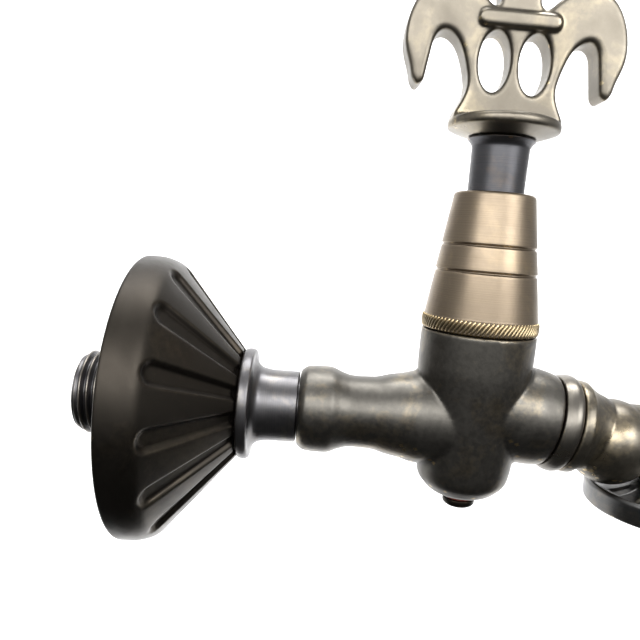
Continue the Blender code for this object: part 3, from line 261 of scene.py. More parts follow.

# %% [markdown]
# ## The finishes on this tap
# The same bath gives a different tone on each piece: the flange is nearly black, the body
# is slate with soft gold patches, the shroud is brown-gold, and the neck and skirt are
# blue-grey. The worn tone on all of them is the brass beneath, and on edges it is also a
# painted highlight.

# %% Finishes
FINISH = {
    # Nearly black and satin. Only the rim lets some brass through, rubbed by hands and painted as a
    # highlight.
    "flange": aged_bronze("blackened bronze flange, rubbed rim", "161412", "3a3631", "7f725c", axis="x",
                          lines=0.06, rough=0.37, wear_and_highlight=0.22, patches=0.30, cloud=20.0),
    # Grey and bright with fine rings, because the cut of the lathe was left almost bare.
    "tail": aged_bronze("turned bronze tail, satin", "2b2a2a", "69686a", "a69a84", axis="x",
                        lines=0.5, rough=0.33, wear_and_highlight=0.4, patches=0.3),
    # Sand casting gives a soft, slightly grainy sheen, with gold where the bath is thin.
    "body": aged_bronze("sand-cast bronze body, slate and soft gold", "2b2a29", "6b6862", "9c8a68",
                        grain=0.5, rough=0.37, wear_and_highlight=0.6, patches=0.42, cloud=10.0),
    # Fine rings round the cone blur its highlight into a broad warm band.
    "shroud": aged_bronze("turned bronze shroud, brown-gold", "4b4136", "897c6b", "b8a37d",
                          lines=0.75, rough=0.35, wear_and_highlight=0.45, patches=0.25, cloud=20.0),
    # The tops of the ridges are painted gold, as rubbed brass and as a highlight, and the bath stays dark
    # between them.
    "knurl": aged_bronze("knurled bronze band", "1c1813", "7f735c", "c4b08a", rough=0.34, wear_and_highlight=0.7,
                         patches=0.3),
    # A cool, thick bath over turned rings: dark blue-grey with a narrow highlight.
    "neck": aged_bronze("turned bronze neck, blue-grey", "29292c", "656568", "857159", lines=0.7,
                        rough=0.34, wear_and_highlight=0.45, patches=0.35, cloud=12.0),
    # Cast and rubbed smooth, so the flat faces are pale and the corners darker.
    "handle": aged_bronze("cast bronze handle, grey-brown", "2d2a26", "7c766b", "b8a884", grain=0.2,
                          rough=0.34, wear_and_highlight=0.4, patches=0.3, cloud=13.0),
    # Turned and seldom touched, so it is even and a little glossy.
    "ring": aged_bronze("turned bronze lock ring, warm grey", "2e2c2a", "76726b", "b0a288",
                        axis="branch", lines=0.4, rough=0.32, wear_and_highlight=0.35, patches=0.25),
    # The casting that hands touch most: patchy, with gold on its bends that is rubbed brass and painted
    # highlight.
    "spout": aged_bronze("sand-cast bronze spout, gold-grey", "2c2924", "7b756a", "bfac87",
                         axis="branch", grain=0.4, rough=0.34, wear_and_highlight=0.6, patches=0.4, cloud=10.0),
    # Slate with rings, painted brighter along its chamfer, as rubbed brass and as a highlight.
    "skirt": aged_bronze("turned bronze skirt, slate", "262524", "676767", "ab9e85", lines=0.5,
                         rough=0.32, wear_and_highlight=0.4, patches=0.3, cloud=13.0),
    # A thread wears bright at its crests, also painted as a highlight, and stays dark in its roots.
    "nipple": aged_bronze("turned bronze hose thread", "2a2520", "75695a", "b8a680", lines=0.5,
                          rough=0.34, wear_and_highlight=0.5, patches=0.35),
    # A small black plug, hardly shiny.
    "plug": aged_bronze("blackened bronze plug", "121110", "34302b", "7c6d52", rough=0.4, wear_and_highlight=0.3),
    # The bath never reached the inside, so the cut brass is yellow and bright.
    "brass": aged_bronze("plain turned brass", "6d5128", "b8924f", "e2c27c", lines=0.7, rough=0.28,
                         wear_and_highlight=0.5, patches=0.3),
}
print(len(FINISH), "bronze and brass finishes")


def plain(name, colour, rough, metallic=0.0):
    """Rubber, fibre and steel: one tone, broken up by a fine noise."""
    made = bpy.data.materials.new(name)
    made.use_nodes = True
    tree = made.node_tree
    shader = tree.nodes["Principled BSDF"]
    shader.inputs["Metallic"].default_value = metallic
    where = add(tree, "ShaderNodeTexCoord").outputs["Object"]
    fine = add(tree, "ShaderNodeTexNoise", values={"Scale": FINE_SCALE, "Detail": 4.0},
               links={"Vector": where}).outputs["Fac"]
    shade = mix(tree, fine, tuple(0.7 * c for c in linear(colour)[:3]) + (1.0,), linear(colour))
    tree.links.new(shade, shader.inputs["Base Color"])
    gloss = ramp(tree, fine, [(0.3, rough - 0.08), (0.7, rough + 0.08)])
    tree.links.new(gloss, shader.inputs["Roughness"])
    bump = add(tree, "ShaderNodeBump", values={"Strength": 0.3, "Distance": 0.0001},
               links={"Height": fine})
    tree.links.new(bump.outputs["Normal"], shader.inputs["Normal"])
    return made


# Rubber and fibre are dull and take no highlight, while steel and lapped ceramic shine.
FINISH["rubber"] = plain("moulded black rubber, matte", "1b1b1b", 0.7)
FINISH["fibre"] = plain("pressed red fibre washer", "7a3526", 0.8)
FINISH["steel"] = plain("plain steel grub screw", "8b8b8e", 0.3, 1.0)
FINISH["ceramic"] = plain("lapped white alumina ceramic", "e9e6df", 0.2)

# %% [markdown]
# ## A lathe with soft corners
# A real turned edge is never perfectly sharp, and its small round is what catches the light.
# So a profile is a list of radius, height and corner round. Each corner becomes a short arc,
# long runs are split, and the profile is swept round its axis. A relief function may then
# push each point in or out, which makes flutes and threads out of the same lathe.

# %% The lathe
def soften(points, closed):
    """Rounds each (radius, height, round) corner with a short arc."""
    count = len(points)
    soft = []
    for i, (r, h, size) in enumerate(points):
        here = Vector((r, h))
        if size <= 0 or (not closed and i in (0, count - 1)):
            soft.append(here)
            continue
        before = Vector(points[i - 1][:2]) - here
        after = Vector(points[(i + 1) % count][:2]) - here
        reach = min(size, 0.45 * before.length, 0.45 * after.length)
        start = here + before.normalized() * reach
        end = here + after.normalized() * reach
        for step in range(6):
            t = step / 5
            soft.append(start * (1 - t) ** 2 + here * 2 * t * (1 - t) + end * t ** 2)
    return soft


def split_runs(points, longest, closed):
    full = []
    last = len(points) if closed else len(points) - 1
    for i in range(last):
        a = points[i]
        b = points[(i + 1) % len(points)]
        pieces = max(1, int((b - a).length / longest + 0.999))
        full += [a.lerp(b, k / pieces) for k in range(pieces)]
    if not closed:
        full.append(points[-1])
    return full


def turned(name, profile, place, steps=144, closed=True, longest=0.8, relief=None):
    """A mesh in place. An open profile starts and ends on the axis."""
    points = split_runs(soften(profile, closed), longest, closed)
    shape = bmesh.new()
    columns = []
    for s in range(steps):
        angle = 2 * pi * s / steps
        column = []
        for point in points:
            r, h = (point.x, point.y) if relief is None else relief(point.x, point.y, angle)
            if point.x < 1e-6 and s > 0:
                column.append(columns[0][len(column)])
                continue
            column.append(shape.verts.new(place @ (Vector((r * cos(angle), r * sin(angle), h)) * MM)))
        columns.append(column)
    rows = len(points) if closed else len(points) - 1
    for s in range(steps):
        left = columns[s]
        right = columns[(s + 1) % steps]
        for i in range(rows):
            j = (i + 1) % len(points)
            corners = []
            for vert in (left[i], left[j], right[j], right[i]):
                if vert not in corners:
                    corners.append(vert)
            if len(corners) > 2:
                shape.faces.new(corners)
    bmesh.ops.recalc_face_normals(shape, faces=shape.faces)
    return to_object(name, shape)


def to_object(name, shape):
    for face in shape.faces:
        face.smooth = True
    mesh = bpy.data.meshes.new(name)
    shape.to_mesh(mesh)
    shape.free()
    made = bpy.data.objects.new(name, mesh)
    bpy.context.scene.collection.objects.link(made)
    return made


corner = soften([(0.0, 0.0, 0.0), (1.0, 0.0, 0.4), (1.0, 1.0, 0.0)], False)
print("one soft corner has", len(corner) - 2, "points")

# %% [markdown]
# ## Handing a piece over
# A finished piece takes its material, rides on a body of the mechanism and stands for the
# rough solids that it replaces.

# %% Hand over
def paint(piece, finish):
    piece.data.materials.clear()
    piece.data.materials.append(FINISH[finish])


def dress(piece, finish, node, body="tap"):
    paint(piece, finish)
    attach(piece, body)
    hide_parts(node)
    triangles = sum(len(face.vertices) - 2 for face in piece.data.polygons)
    print(f"{piece.name}: {triangles} triangles")


def settle(piece):
    """Turns live modifiers into plain mesh."""
    graph = bpy.context.evaluated_depsgraph_get()
    graph.update()
    mesh = bpy.data.meshes.new_from_object(piece.evaluated_get(graph))
    piece.modifiers.clear()
    piece.data = mesh
    return piece


print("pieces ride on tap or on spindle_and_handle")

# %% [markdown]
# ## The wall flange
# The flange hides the hole in the wall. It was spun from sheet, and fourteen flutes with
# round outer ends run down its cone and out through the nose. The relief function measures
# how far a point is from the middle of its flute, and sinks it between soft walls.

# %% Flange
def smooth_step(value, low, high):
    t = max(0.0, min(1.0, (value - low) / (high - low)))
    return t * t * (3 - 2 * t)


NOSE_R = 13.7
NOSE_AT = 25.2
CONE_R = 34.4
CONE_AT = 8.0
SLOPE = atan2(CONE_R - NOSE_R, NOSE_AT - CONE_AT)
FLUTES = 14
FLUTE_STEP = 2 * pi / FLUTES
FLUTE_REACH = 26.0
FLUTE_DEPTH = 1.1


def flute_relief(r, h, angle):
    gone_out = (r - NOSE_R) * sin(SLOPE) + (NOSE_AT - h) * cos(SLOPE)
    proud = (r - NOSE_R) * cos(SLOPE) - (NOSE_AT - h) * sin(SLOPE)
    if proud < -0.5 or gone_out < -1.0:
        return r, h
    turn = (-pi / 2 - angle + radians(2)) / FLUTE_STEP
    across = abs(turn - round(turn)) * FLUTE_STEP * r
    half = 1.7 + 1.1 * gone_out / 24.0
    end = FLUTE_REACH - half
    if gone_out > end:
        across = hypot(across, gone_out - end)
    sunk = FLUTE_DEPTH * (1 - smooth_step(across, half - 1.0, half + 0.35))
    return r - sunk * cos(SLOPE), h - sunk * sin(SLOPE)


FLANGE = [(10.8, NOSE_AT, 0.2), (NOSE_R, NOSE_AT, 0.5), (34.3, CONE_AT, 3.0), (35.5, 4.4, 1.6),
          (35.5, 0.0, 0.9), (32.9, 0.0, 0.3), (32.9, 3.8, 1.5), (31.6, 6.8, 1.5), (12.8, 23.2, 0.4),
          (10.8, 23.2, 0.2)]
flange = turned("wall_flange_fluted", FLANGE, INLET, steps=448, longest=0.9, relief=flute_relief)
dress(flange, "flange", "wall_flange")

# %% [markdown]
# ## Threads
# A thread is a ridge that climbs one pitch in each turn. On the lathe that is a relief that
# depends on both the height and the angle, faded out at both ends.

# %% Inlet tail
THREAD_DEPTH = 1.162
THREAD_PITCH = 1.814
TAIL_CREST = 10.478
HOSE_CREST = 13.22


def thread_relief(crest, low, high):
    root = crest - THREAD_DEPTH

    def relief(r, h, angle):
        if r < root - 0.9 or h < low - 0.2 or h > high + 0.2:
            return r, h
        phase = (h / THREAD_PITCH - angle / (2 * pi)) % 1.0
        wave = smooth_step(1 - abs(2 * phase - 1), 0.18, 0.82)
        fade = smooth_step(h, low, low + 1.4) * (1 - smooth_step(h, high - 1.2, high))
        return root + THREAD_DEPTH * wave * fade, h
    return relief


TAIL = [(6.0, -14.4, 0.4), (9.3, -14.4, 0.3), (9.35, 1.9, 0.2), (9.1, 3.0, 0.4), (9.1, 25.5, 0.1),
        (13.9, 25.5, 0.7), (14.2, 26.9, 0.5), (13.9, 28.3, 0.7), (11.6, 28.4, 1.2), (9.7, 29.7, 1.5),
        (9.1, 32.4, 1.2), (9.1, 39.4, 0.2), (8.9, 39.7, 0.1), (7.6, 39.7, 0.1), (7.6, 51.7, 0.4),
        (6.0, 51.7, 0.2)]
tail = turned("inlet_tail_threaded", TAIL, INLET, steps=128, longest=0.22,
              relief=thread_relief(TAIL_CREST, -14.2, 1.8))
dress(tail, "tail", "inlet_tailpiece")

# %% [markdown]
# ## Cast pieces
# The body is one casting: a tower, a socket for the tail and a drooping branch, with soft
# fillets where they meet. Separate turned shapes are fused by a voxel remesh, and smoothing
# rounds their meeting lines as a foundry's wax would. The bores are cut afterwards.

# %% Casting helpers
def fused(name, shapes, voxel, passes):
    joined = bmesh.new()
    for shape in shapes:
        joined.from_mesh(shape.data)
        bpy.data.objects.remove(shape)
    piece = to_object(name, joined)
    melt = piece.modifiers.new("melt", "REMESH")
    melt.mode = "VOXEL"
    melt.voxel_size = voxel * MM
    melt.use_smooth_shade = True
    calm = piece.modifiers.new("calm", "SMOOTH")
    calm.factor = 0.5
    calm.iterations = passes
    return settle(piece)


def bored(piece, cutters):
    for cutter in cutters:
        drill = piece.modifiers.new("drill", "BOOLEAN")
        drill.operation = "DIFFERENCE"
        drill.solver = "EXACT"
        drill.object = cutter
    settle(piece)
    for cutter in cutters:
        bpy.data.objects.remove(cutter)
    piece.data.shade_smooth()
    piece.data.set_sharp_from_angle(angle=radians(38))
    return piece


def solid(name, profile, place, steps=96, longest=2.0):
    top = (0.0, profile[0][1], 0.0)
    foot = (0.0, profile[-1][1], 0.0)
    return turned(name, [top, *profile, foot], place, steps, False, longest)


print("castings are fused, smoothed and then bored")

# %% Valve body
SOCKET = [(12.1, 82.0, 0.0), (12.0, 69.8, 1.5), (11.0, 66.6, 1.2), (10.3, 62.7, 1.2), (9.4, 59.8, 1.0),
          (9.15, 55.0, 1.5), (9.3, 52.6, 0.6), (10.0, 50.4, 0.3), (11.1, 48.0, 0.8), (11.1, 44.0, 1.2),
          (10.8, 41.6, 0.6), (9.5, 40.0, 0.2)]
TOWER = [(14.4, 23.4, 0.4), (14.4, 13.0, 2.0), (12.2, -12.0, 2.0), (11.6, -15.5, 3.0), (8.2, -19.0, 2.6),
         (4.4, -19.8, 1.0)]
BRANCH_SHAPE = [(11.8, 20.4, 0.4), (12.4, 17.5, 1.5), (12.6, 14.3, 2.0), (12.1, 0.0, 0.0)]
body = fused("valve_body_casting", [solid("tower", TOWER, VALVE), solid("socket", SOCKET, INLET),
                                    solid("branch", BRANCH_SHAPE, BRANCH)], 0.42, 5)
TOP_BORE = [(12.5, 26.0, 0), (12.5, 21.5, 0), (11.2, 21.5, 0), (11.2, 12.0, 0), (9.5, 12.0, 0),
            (9.5, 0.5, 0)]
LOW_BORE = [(6.2, 3.0, 0), (6.2, -3.5, 0), (7.2, -3.5, 0), (7.2, -16.8, 0), (3.3, -16.8, 0),
            (3.3, -22.0, 0)]
IN_BORE = [(4.0, 71.9, 0), (6.0, 69.9, 0), (6.0, 52.0, 0), (7.9, 52.0, 0), (7.9, 38.0, 0)]
OUT_BORE = [(8.3, 23.0, 0), (8.3, 11.6, 0), (5.5, 11.6, 0), (5.5, 7.2, 0)]
bored(body, [solid("b1", TOP_BORE, VALVE, 64), solid("b2", LOW_BORE, VALVE, 64),
             solid("b3", IN_BORE, INLET, 64), solid("b4", OUT_BORE, BRANCH, 64)])
dress(body, "body", "valve_body")

# %% Drain plug
PLUG = [(2.6, -17.1, 0.2), (3.0, -17.5, 0.2), (3.0, -21.0, 0.1), (4.2, -21.0, 0.3), (4.2, -22.5, 0.9),
        (2.8, -23.3, 0.8)]
plug = solid("drain_plug_head", PLUG, VALVE, 96, 0.5)
dress(plug, "plug", "drain_plug")

# %% [markdown]
# ## The shroud
# The tapered cover hides the headwork. It has two fine grooves, a softly rounded shoulder
# and a knurled band at its foot. Its lines were left by the lathe.

# %% Shroud
SHROUD_FOOT = 23.7
SHROUD_HEIGHT = 33.4
GROOVE_DEPTH = 0.42


def cone(height):
    return 14.1 - 0.143 * (height - 3.4)


def groove_at(height):
    r = cone(height)
    floor_r = r - GROOVE_DEPTH
    at = SHROUD_FOOT + height
    return [(r, at + 0.45, 0.12), (floor_r, at + 0.12, 0.1), (floor_r, at - 0.12, 0.1),
            (r, at - 0.45, 0.12)]


SHROUD = [(7.1, 57.1, 0.2), (cone(SHROUD_HEIGHT), 57.1, 0.9), *groove_at(20.8), *groove_at(14.5),
          (14.1, 27.1, 0.2), (14.2, 27.1, 0.05), (14.25, SHROUD_FOOT, 0.25), (12.5, SHROUD_FOOT, 0.1),
          (12.5, 27.7, 0.1), (12.3, 28.2, 0.2), (8.3, 55.5, 0.5), (7.1, 55.5, 0.1)]
shroud = turned("shroud_turned", SHROUD, VALVE, steps=160, longest=0.6)
dress(shroud, "shroud", "shroud")

# %% [markdown]
# ## The knurl, in Geometry Nodes
# A straight knurling wheel, set at a slant, presses a row of leaning ridges into the band.
# One small ridge is copied round a circle of points, so its count, lean and size stay as
# named inputs. The copies are made real before the piece is handed over.

# %% Knurl tree
def knurl_tree():
    tree = bpy.data.node_groups.new("knurl round a band", "GeometryNodeTree")
    face = tree.interface
    face.new_socket("Geometry", in_out="INPUT", socket_type="NodeSocketGeometry")
    face.new_socket("Geometry", in_out="OUTPUT", socket_type="NodeSocketGeometry")
    sizes = {}
    for label, kind in (("Count", "NodeSocketInt"), ("Band radius", "NodeSocketFloat"),
                        ("Band height", "NodeSocketFloat"), ("Ridge size", "NodeSocketVector"),
                        ("Lean", "NodeSocketFloat"), ("Axis", "NodeSocketVector"),
                        ("Finish", "NodeSocketMaterial")):
        sizes[label] = face.new_socket(label, in_out="INPUT", socket_type=kind).identifier
    given = tree.nodes.new("NodeGroupInput").outputs
    circle = add(tree, "GeometryNodeCurvePrimitiveCircle", {"mode": "RADIUS"},
                 {"Resolution": 256}, {"Radius": given["Band radius"]})
    points = add(tree, "GeometryNodeCurveToPoints", {"mode": "COUNT"}, None,
                 {"Curve": circle.outputs["Curve"], "Count": given["Count"]})
    ridge = add(tree, "GeometryNodeMeshIcoSphere", None, {"Radius": 0.5, "Subdivisions": 2})
    shaped = add(tree, "GeometryNodeTransform", None, None,
                 {"Geometry": ridge.outputs["Mesh"], "Scale": given["Ridge size"]})
    lean = add(tree, "ShaderNodeCombineXYZ", None, None, {"X": given["Lean"]})
    tipped = add(tree, "GeometryNodeTransform", None, None,
                 {"Geometry": shaped.outputs["Geometry"], "Rotation": lean.outputs["Vector"]})
    spot = add(tree, "GeometryNodeInputPosition")
    outward = add(tree, "FunctionNodeAlignRotationToVector", {"axis": "X", "pivot_axis": "Z"}, None,
                  {"Vector": spot.outputs["Position"]})
    copies = add(tree, "GeometryNodeInstanceOnPoints", None, None,
                 {"Points": points.outputs["Points"], "Instance": tipped.outputs["Geometry"],
                  "Rotation": outward.outputs["Rotation"]})
    lift = add(tree, "ShaderNodeCombineXYZ", None, None, {"Z": given["Band height"]})
    centre = add(tree, "ShaderNodeVectorMath", {"operation": "ADD"})
    tree.links.new(lift.outputs["Vector"], centre.inputs[0])
    tree.links.new(given["Axis"], centre.inputs[1])
    moved = add(tree, "GeometryNodeTransform", None, None,
                {"Geometry": copies.outputs["Instances"], "Translation": centre.outputs["Vector"]})
    real = add(tree, "GeometryNodeRealizeInstances", None, None, {"Geometry": moved.outputs["Geometry"]})
    smooth = add(tree, "GeometryNodeSetShadeSmooth", None, None, {"Geometry": real.outputs["Geometry"]})
    painted = add(tree, "GeometryNodeSetMaterial", None, None,
                  {"Geometry": smooth.outputs["Geometry"], "Material": given["Finish"]})
    leave = tree.nodes.new("NodeGroupOutput")
    tree.links.new(painted.outputs["Geometry"], leave.inputs["Geometry"])
    return tree, sizes


print("the knurl tree takes count, radius, height, ridge, lean, axis and finish")

# %% Knurl
def make_knurl():
    tree, sizes = knurl_tree()
    mesh = bpy.data.meshes.new("shroud_knurl")
    knurl = bpy.data.objects.new("shroud_knurl", mesh)
    bpy.context.scene.collection.objects.link(knurl)
    work = knurl.modifiers.new("knurl", "NODES")
    work.node_group = tree
    for label, value in (("Count", 84), ("Band radius", 14.2 * MM), ("Band height", 25.4 * MM),
                         ("Ridge size", (0.8 * MM, 0.92 * MM, 4.0 * MM)), ("Lean", radians(-32)),
                         ("Axis", (VALVE_X * MM, 0.0, 0.0)), ("Finish", FINISH["knurl"])):
        work[sizes[label]] = value
    return settle(knurl)


knurl = make_knurl()
paint(knurl, "knurl")
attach(knurl, "tap")
print("knurl:", len(knurl.data.polygons), "faces")

# %% [markdown]
# ## Neck and handle
# The sleeve flares into a collar under the handle's disc. The handle is cast: a fleur-de-lis
# plate that stands on the disc. Its outline is a smooth curve, given on one side and
# mirrored, and thickened with round rims. Fusing it with its clasp gives the soft cast look.

# %% Neck
NECK = [(4.8, 69.7, 0.1), (8.2, 69.7, 0.3), (7.5, 69.0, 0.5), (6.9, 68.1, 0.6), (6.8, 60.0, 0.0),
        (6.8, 49.7, 0.3), (4.8, 49.7, 0.1)]
neck = turned("handle_neck", NECK, VALVE, steps=128, longest=0.5)
dress(neck, "neck", "handle_sleeve", "spindle_and_handle")

# %% Handle outline
LILY = [
    (12.9, -1.6, 90, 0.5, 0.9), (12.7, 0.6, 106, 0.8, 1.2), (10.4, 6.8, 92, 2.6, 1.3),
    (11.4, 11.8, 72, 2.0, 2.0), (14.8, 17.6, 34, 2.2, 1.6), (18.4, 17.4, -52, 1.4, 1.6),
    (19.8, 12.4, -80, 2.0, 2.0), (20.6, 7.4, -80, 1.4, 0.6), (22.3, 5.9, 20, 0.7, 0.6),
    (23.8, 8.4, 82, 1.0, 2.2), (25.8, 16.0, 88, 3.0, 3.4), (22.6, 26.4, 128, 3.6, 3.2),
    (14.6, 29.6, 188, 3.4, 2.6), (8.0, 25.8, 226, 2.4, 1.2), (5.6, 24.4, 150, 0.6, 1.2),
    (4.6, 27.4, 82, 1.4, 1.6), (6.6, 32.6, 74, 2.4, 2.4), (3.8, 40.4, 122, 2.6, 1.6),
    (0.0, 44.4, 180, 1.0, 1.0),
]


def both_sides(knots):
    left = [(-x, z, -turn, ahead, back) for x, z, turn, back, ahead in reversed(knots) if x > 0.01]
    return [*knots, *left]


def oval(x, z, wide, high):
    grip = 0.552
    return [(x + wide, z, 90, grip * high, grip * high), (x, z + high, 180, grip * wide, grip * wide),
            (x - wide, z, 270, grip * high, grip * high), (x, z - high, 0, grip * wide, grip * wide)]


def from_curve(name, curve, place):
    """A clean closed mesh from a filled or bevelled curve."""
    guide = bpy.data.objects.new(name, curve)
    bpy.context.scene.collection.objects.link(guide)
    graph = bpy.context.evaluated_depsgraph_get()
    graph.update()
    mesh = bpy.data.meshes.new_from_object(guide.evaluated_get(graph))
    bpy.data.objects.remove(guide)
    mesh.transform(place)
    shape = bmesh.new()
    shape.from_mesh(mesh)
    bmesh.ops.remove_doubles(shape, verts=shape.verts, dist=0.00001)
    bmesh.ops.recalc_face_normals(shape, faces=shape.faces)
    return to_object(name, shape)


def plate(name, loops, half_thick, rounding, foot):
    curve = bpy.data.curves.new(name, "CURVE")
    curve.dimensions = "2D"
    curve.fill_mode = "BOTH"
    curve.extrude = (half_thick - rounding) * MM
    curve.bevel_depth = rounding * MM
    curve.bevel_resolution = 3
    curve.offset = -rounding * MM
    for knots in loops:
        line = curve.splines.new("BEZIER")
        line.resolution_u = 10
        line.use_cyclic_u = True
        line.bezier_points.add(len(knots) - 1)
        for point, (x, z, turn, back, ahead) in zip(line.bezier_points, knots):
            way = Vector((cos(radians(turn)), sin(radians(turn)), 0))
            spot = Vector((x, z, 0))
            point.handle_left_type = "FREE"
            point.handle_right_type = "FREE"
            point.co = spot * MM
            point.handle_left = (spot - way * back) * MM
            point.handle_right = (spot + way * ahead) * MM
    upright = Matrix(((1, 0, 0, 0), (0, 0, -1, 0), (0, 1, 0, 0), (0, 0, 0, 1)))
    return from_curve(name, curve, Matrix.Translation(Vector((VALVE_X, 0, foot)) * MM) @ upright)


print("half of the lily's outline has", len(LILY), "knots")

# %% Handle
DISC_TOP = 74.2
windows = [oval(side * 4.7, 12.4, 3.7, 6.8) for side in (-1, 1)]
lily = plate("lily", [both_sides(LILY), *windows], 4.0, 1.1, DISC_TOP)
clasp_line = [(7.8, 19.6, 0, 1, 1), (9.6, 21.4, 90, 1, 1), (7.8, 23.2, 180, 1, 1),
              (-7.8, 23.2, 180, 1, 1), (-9.6, 21.4, 270, 1, 1), (-7.8, 19.6, 0, 1, 1)]
clasp = plate("clasp", [clasp_line], 4.9, 0.8, DISC_TOP)
DISC = [(11.4, DISC_TOP, 0.3), (12.9, 74.1, 0.6), (13.4, 73.2, 0.5), (13.3, 71.8, 0.5), (12.1, 71.4, 0.6),
        (8.4, 70.1, 0.4), (4.0, 70.0, 0.0)]
handle = fused("handle_fleur_de_lis", [lily, clasp, solid("disc", DISC, VALVE, 128)], 0.34, 3)
square_on = VALVE @ Matrix.Rotation(pi / 4, 4, "Z")
hole = solid("square", [(4.15, 73.5, 0), (4.15, 66.0, 0)], square_on, 4, 20.0)
grub_on = frame_at((VALVE_X, 0, 72.8), (0, 1, 0))
grub_hole = solid("grub", [(1.05, 16.0, 0), (1.05, 2.6, 0)], grub_on, 48)
bored(handle, [hole, grub_hole])
dress(handle, "handle", "handle", "spindle_and_handle")

# %% [markdown]
# ## The outlet
# A round lock ring clamps the spout to the branch. The spout starts with a turned band and a
# waisted neck, then turns down through a ball. The skirt spreads below it, dished, with a
# groove and a bright chamfer, and the hose thread sits inside it.

# %% Lock ring
RING = [(8.3, 25.3, 0.1), (11.9, 25.3, 0.3), (12.6, 24.6, 0.7), (12.8, 23.4, 0.9), (12.5, 21.9, 0.9),
        (11.9, 20.8, 0.3), (11.6, 20.7, 0.1), (8.3, 20.7, 0.1)]
ring = turned("lock_ring_round", RING, BRANCH, steps=144, longest=0.4)
dress(ring, "ring", "outlet_lock_ring")

# %% Spout
def tube(name, path, radius):
    curve = bpy.data.curves.new(name, "CURVE")
    curve.dimensions = "3D"
    curve.bevel_depth = radius * MM
    curve.bevel_resolution = 10
    curve.use_fill_caps = True
    line = curve.splines.new("POLY")
    line.points.add(len(path) - 1)
    for point, (x, z) in zip(line.points, path):
        point.co = (x * MM, 0.0, z * MM, 1.0)
    return from_curve(name, curve, Matrix())


def arc(centre, radius, start, end, count):
    return [(centre[0] + radius * cos(radians(start + (end - start) * i / count)),
             centre[1] + radius * sin(radians(start + (end - start) * i / count)))
            for i in range(count + 1)]


def on_branch(distance):
    return (VALVE_X + distance * cos(DROOP), BRANCH_Z - distance * sin(DROOP))


BALL_R = 11.2
BALL_X = OUTLET_X - 16.8
BALL = [(r, h, 0.0) for r, h in arc((0, 0), BALL_R, 88, -88, 30)]
NECK_SHAPE = [(7.6, 37.0, 0.0), (9.4, 34.8, 2.0), (10.1, 31.7, 1.5), (11.0, 29.8, 1.0), (11.6, 28.7, 0.5),
              (12.1, 28.2, 0.4), (12.1, 26.0, 0.4), (11.7, 25.6, 0.3), (8.0, 25.6, 0.1), (8.0, 12.0, 0.3)]
BEND_R = 9.0
ELBOW_R = 7.6
WATERWAY_R = 4.8
bend = arc((OUTLET_X - BEND_R, -9.2), BEND_R, 90, 0, 14)
casting = [solid("neck_shape", NECK_SHAPE, BRANCH, 128),
           solid("ball", BALL, frame_at((BALL_X, 0, -2.9), (0, 0, 1)), 96),
           tube("elbow", [(BALL_X, -0.2), *bend, (OUTLET_X, -11.3)], ELBOW_R),
           solid("spigot", [(6.3, -8.0, 0), (6.3, -18.5, 0.3)], OUTLET, 96)]
spout = fused("spout_casting", casting, 0.36, 4)
waterway = [on_branch(9.0), on_branch(25.6), on_branch(34.8), *bend, (OUTLET_X, -22.0)]
bored(spout, [tube("waterway", waterway, WATERWAY_R)])
dress(spout, "spout", "spout")

# %% Skirt
PETAL_STEP = 2 * pi / 12


def skirt_relief(r, h, angle):
    if r < 9.4 or r > 17.2 or h < -15.8:
        return r, h
    turn = angle / PETAL_STEP - 0.5
    across = abs(turn - round(turn)) * PETAL_STEP * r
    half = 1.2 + 0.7 * (r - 9.4) / 7.0
    inside = smooth_step(r, 9.5, 11.0) * (1 - smooth_step(r, 15.2, 16.6))
    return r, h - 0.42 * inside * (1 - smooth_step(across, half - 0.4, half + 0.2))


SKIRT = [(6.6, -11.6, 0.1), (8.1, -11.6, 0.3), (8.2, -12.7, 0.5), (9.6, -13.9, 0.9), (12.2, -14.8, 1.2),
         (15.1, -15.3, 1.0), (17.3, -15.5, 0.2), (17.6, -16.1, 0.15), (17.9, -15.5, 0.2),
         (19.1, -14.2, 0.4), (19.6, -14.3, 0.4), (20.0, -15.0, 0.4), (19.6, -19.7, 0.8),
         (19.1, -20.3, 0.3), (17.4, -20.3, 0.3), (17.4, -17.9, 0.7), (16.2, -17.0, 0.6),
         (14.5, -16.15, 0.3), (6.6, -16.1, 0.1)]
skirt = turned("skirt_dished", SKIRT, OUTLET, steps=288, longest=0.5, relief=skirt_relief)
dress(skirt, "skirt", "spout_skirt")

# %% Hose thread
NIPPLE = [(6.6, -16.4, 0.1), (13.4, -16.4, 0.3), (13.6, -17.7, 0.2), (12.1, -17.9, 0.1), (12.0, -22.9, 0.2),
          (11.6, -23.2, 0.2), (5.5, -23.2, 0.4), (5.5, -20.0, 0.1), (6.6, -20.0, 0.1)]
nipple = turned("hose_nipple_threaded", NIPPLE, OUTLET, steps=128, longest=0.22,
                relief=thread_relief(HOSE_CREST, -22.9, -18.2))
dress(nipple, "nipple", "hose_nipple")

# %% [markdown]
# ## What stays as it is
# The ceramic discs, seals, headwork and spindle are inside, so the model's own solids stay
# and take brass, ceramic, rubber, fibre and steel.

# %% Inner pieces
INNER = {"fixed_disc": "ceramic", "turning_disc": "ceramic", "disc_seal": "rubber", "headwork": "brass",
         "spindle": "brass", "gland_nut": "brass", "packing_ring": "rubber", "nipple_gasket": "rubber",
         "headwork_gasket": "fibre", "drain_plug_washer": "fibre", "handle_grub_screw": "steel"}
for node, finish in INNER.items():
    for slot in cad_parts[node].material_slots:
        slot.material = FINISH[finish]
print("inner pieces:", ", ".join(INNER))

# %% [markdown]
# ## Studio
# Metal shows what is round it. A broad soft light in front and above gives the long pale
# highlights along the middle of each round piece, a smaller one adds sparkle on the right,
# and pale paper starts behind the tap and sweeps up into a backdrop with no line, so the
# undersides stay dark. Two more lights reach the tops and the paper.

# %% Floor and backdrop
PAPER_FRONT = 0.12
FLOOR_Z = -0.30
BEND_FROM = 0.9
SWEEP_R = 0.7


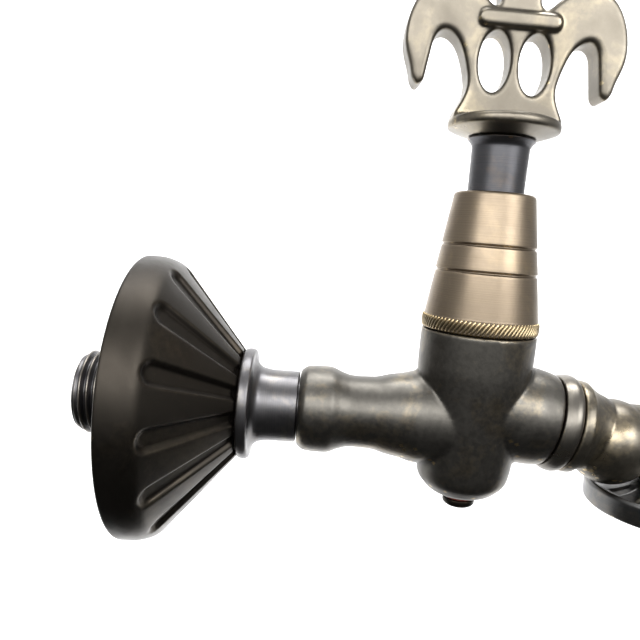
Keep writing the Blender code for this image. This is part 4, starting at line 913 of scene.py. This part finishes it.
def sweep():
    shape = bmesh.new()
    turns = [step * pi / 24 for step in range(1, 13)]
    rise = [(BEND_FROM + SWEEP_R * sin(turn), FLOOR_Z + SWEEP_R * (1 - cos(turn))) for turn in turns]
    line = [(PAPER_FRONT, FLOOR_Z), (BEND_FROM, FLOOR_Z), *rise, (BEND_FROM + SWEEP_R, 3.0)]
    rows = [[shape.verts.new((x, y, z)) for x in (-3.0, 3.2)] for y, z in line]
    for low, high in zip(rows, rows[1:]):
        shape.faces.new((low[0], low[1], high[1], high[0]))
    return to_object("studio_sweep", shape)


floor = sweep()
paper = bpy.data.materials.new("white studio paper, matte")
paper.use_nodes = True
paper_shader = paper.node_tree.nodes["Principled BSDF"]
paper_shader.inputs["Base Color"].default_value = (0.9, 0.9, 0.9, 1.0)
paper_shader.inputs["Roughness"].default_value = 0.9
floor.data.materials.append(paper)
print(f"paper starts {PAPER_FRONT} m behind the tap")


# %% Lights
def softbox(name, place, aim, size, power):
    data = bpy.data.lights.new(name, "AREA")
    data.shape = "RECTANGLE"
    data.size, data.size_y = size
    data.energy = power
    lamp = bpy.data.objects.new(name, data)
    bpy.context.scene.collection.objects.link(lamp)
    place = Vector(place)
    turn = (Vector(aim) - place).to_track_quat("-Z", "Y")
    lamp.matrix_world = Matrix.Translation(place) @ turn.to_matrix().to_4x4()
    return lamp


CENTRE = (0.085, 0.0, 0.03)
softbox("front light", (-0.16, -0.75, 0.44), CENTRE, (1.05, 0.42), 8.5)
softbox("key light", (0.60, -0.62, 0.42), CENTRE, (0.50, 0.40), 6.0)
softbox("top light", (0.05, 0.10, 0.95), CENTRE, (0.9, 0.35), 5.0)
softbox("backdrop light", (0.1, 0.45, 1.3), (0.1, 1.6, 0.3), (1.6, 0.5), 46.0)

world = bpy.data.worlds.new("studio")
bpy.context.scene.world = world
world.use_nodes = True
sky = world.node_tree.nodes["Background"]
sky.inputs["Strength"].default_value = 0.62
way = add(world.node_tree, "ShaderNodeTexCoord").outputs["Generated"]
height = add(world.node_tree, "ShaderNodeSeparateXYZ", links={"Vector": way}).outputs["Z"]
half_height = calc(world.node_tree, "MULTIPLY_ADD", height, 0.5, 0.5)
room = ramp(world.node_tree, half_height, [(0.36, 0.10), (0.60, 1.0)])
world.node_tree.links.new(room, sky.inputs["Color"])
bpy.context.scene.view_settings.view_transform = "Standard"
print("four softboxes, in a room that is pale above and dark below")
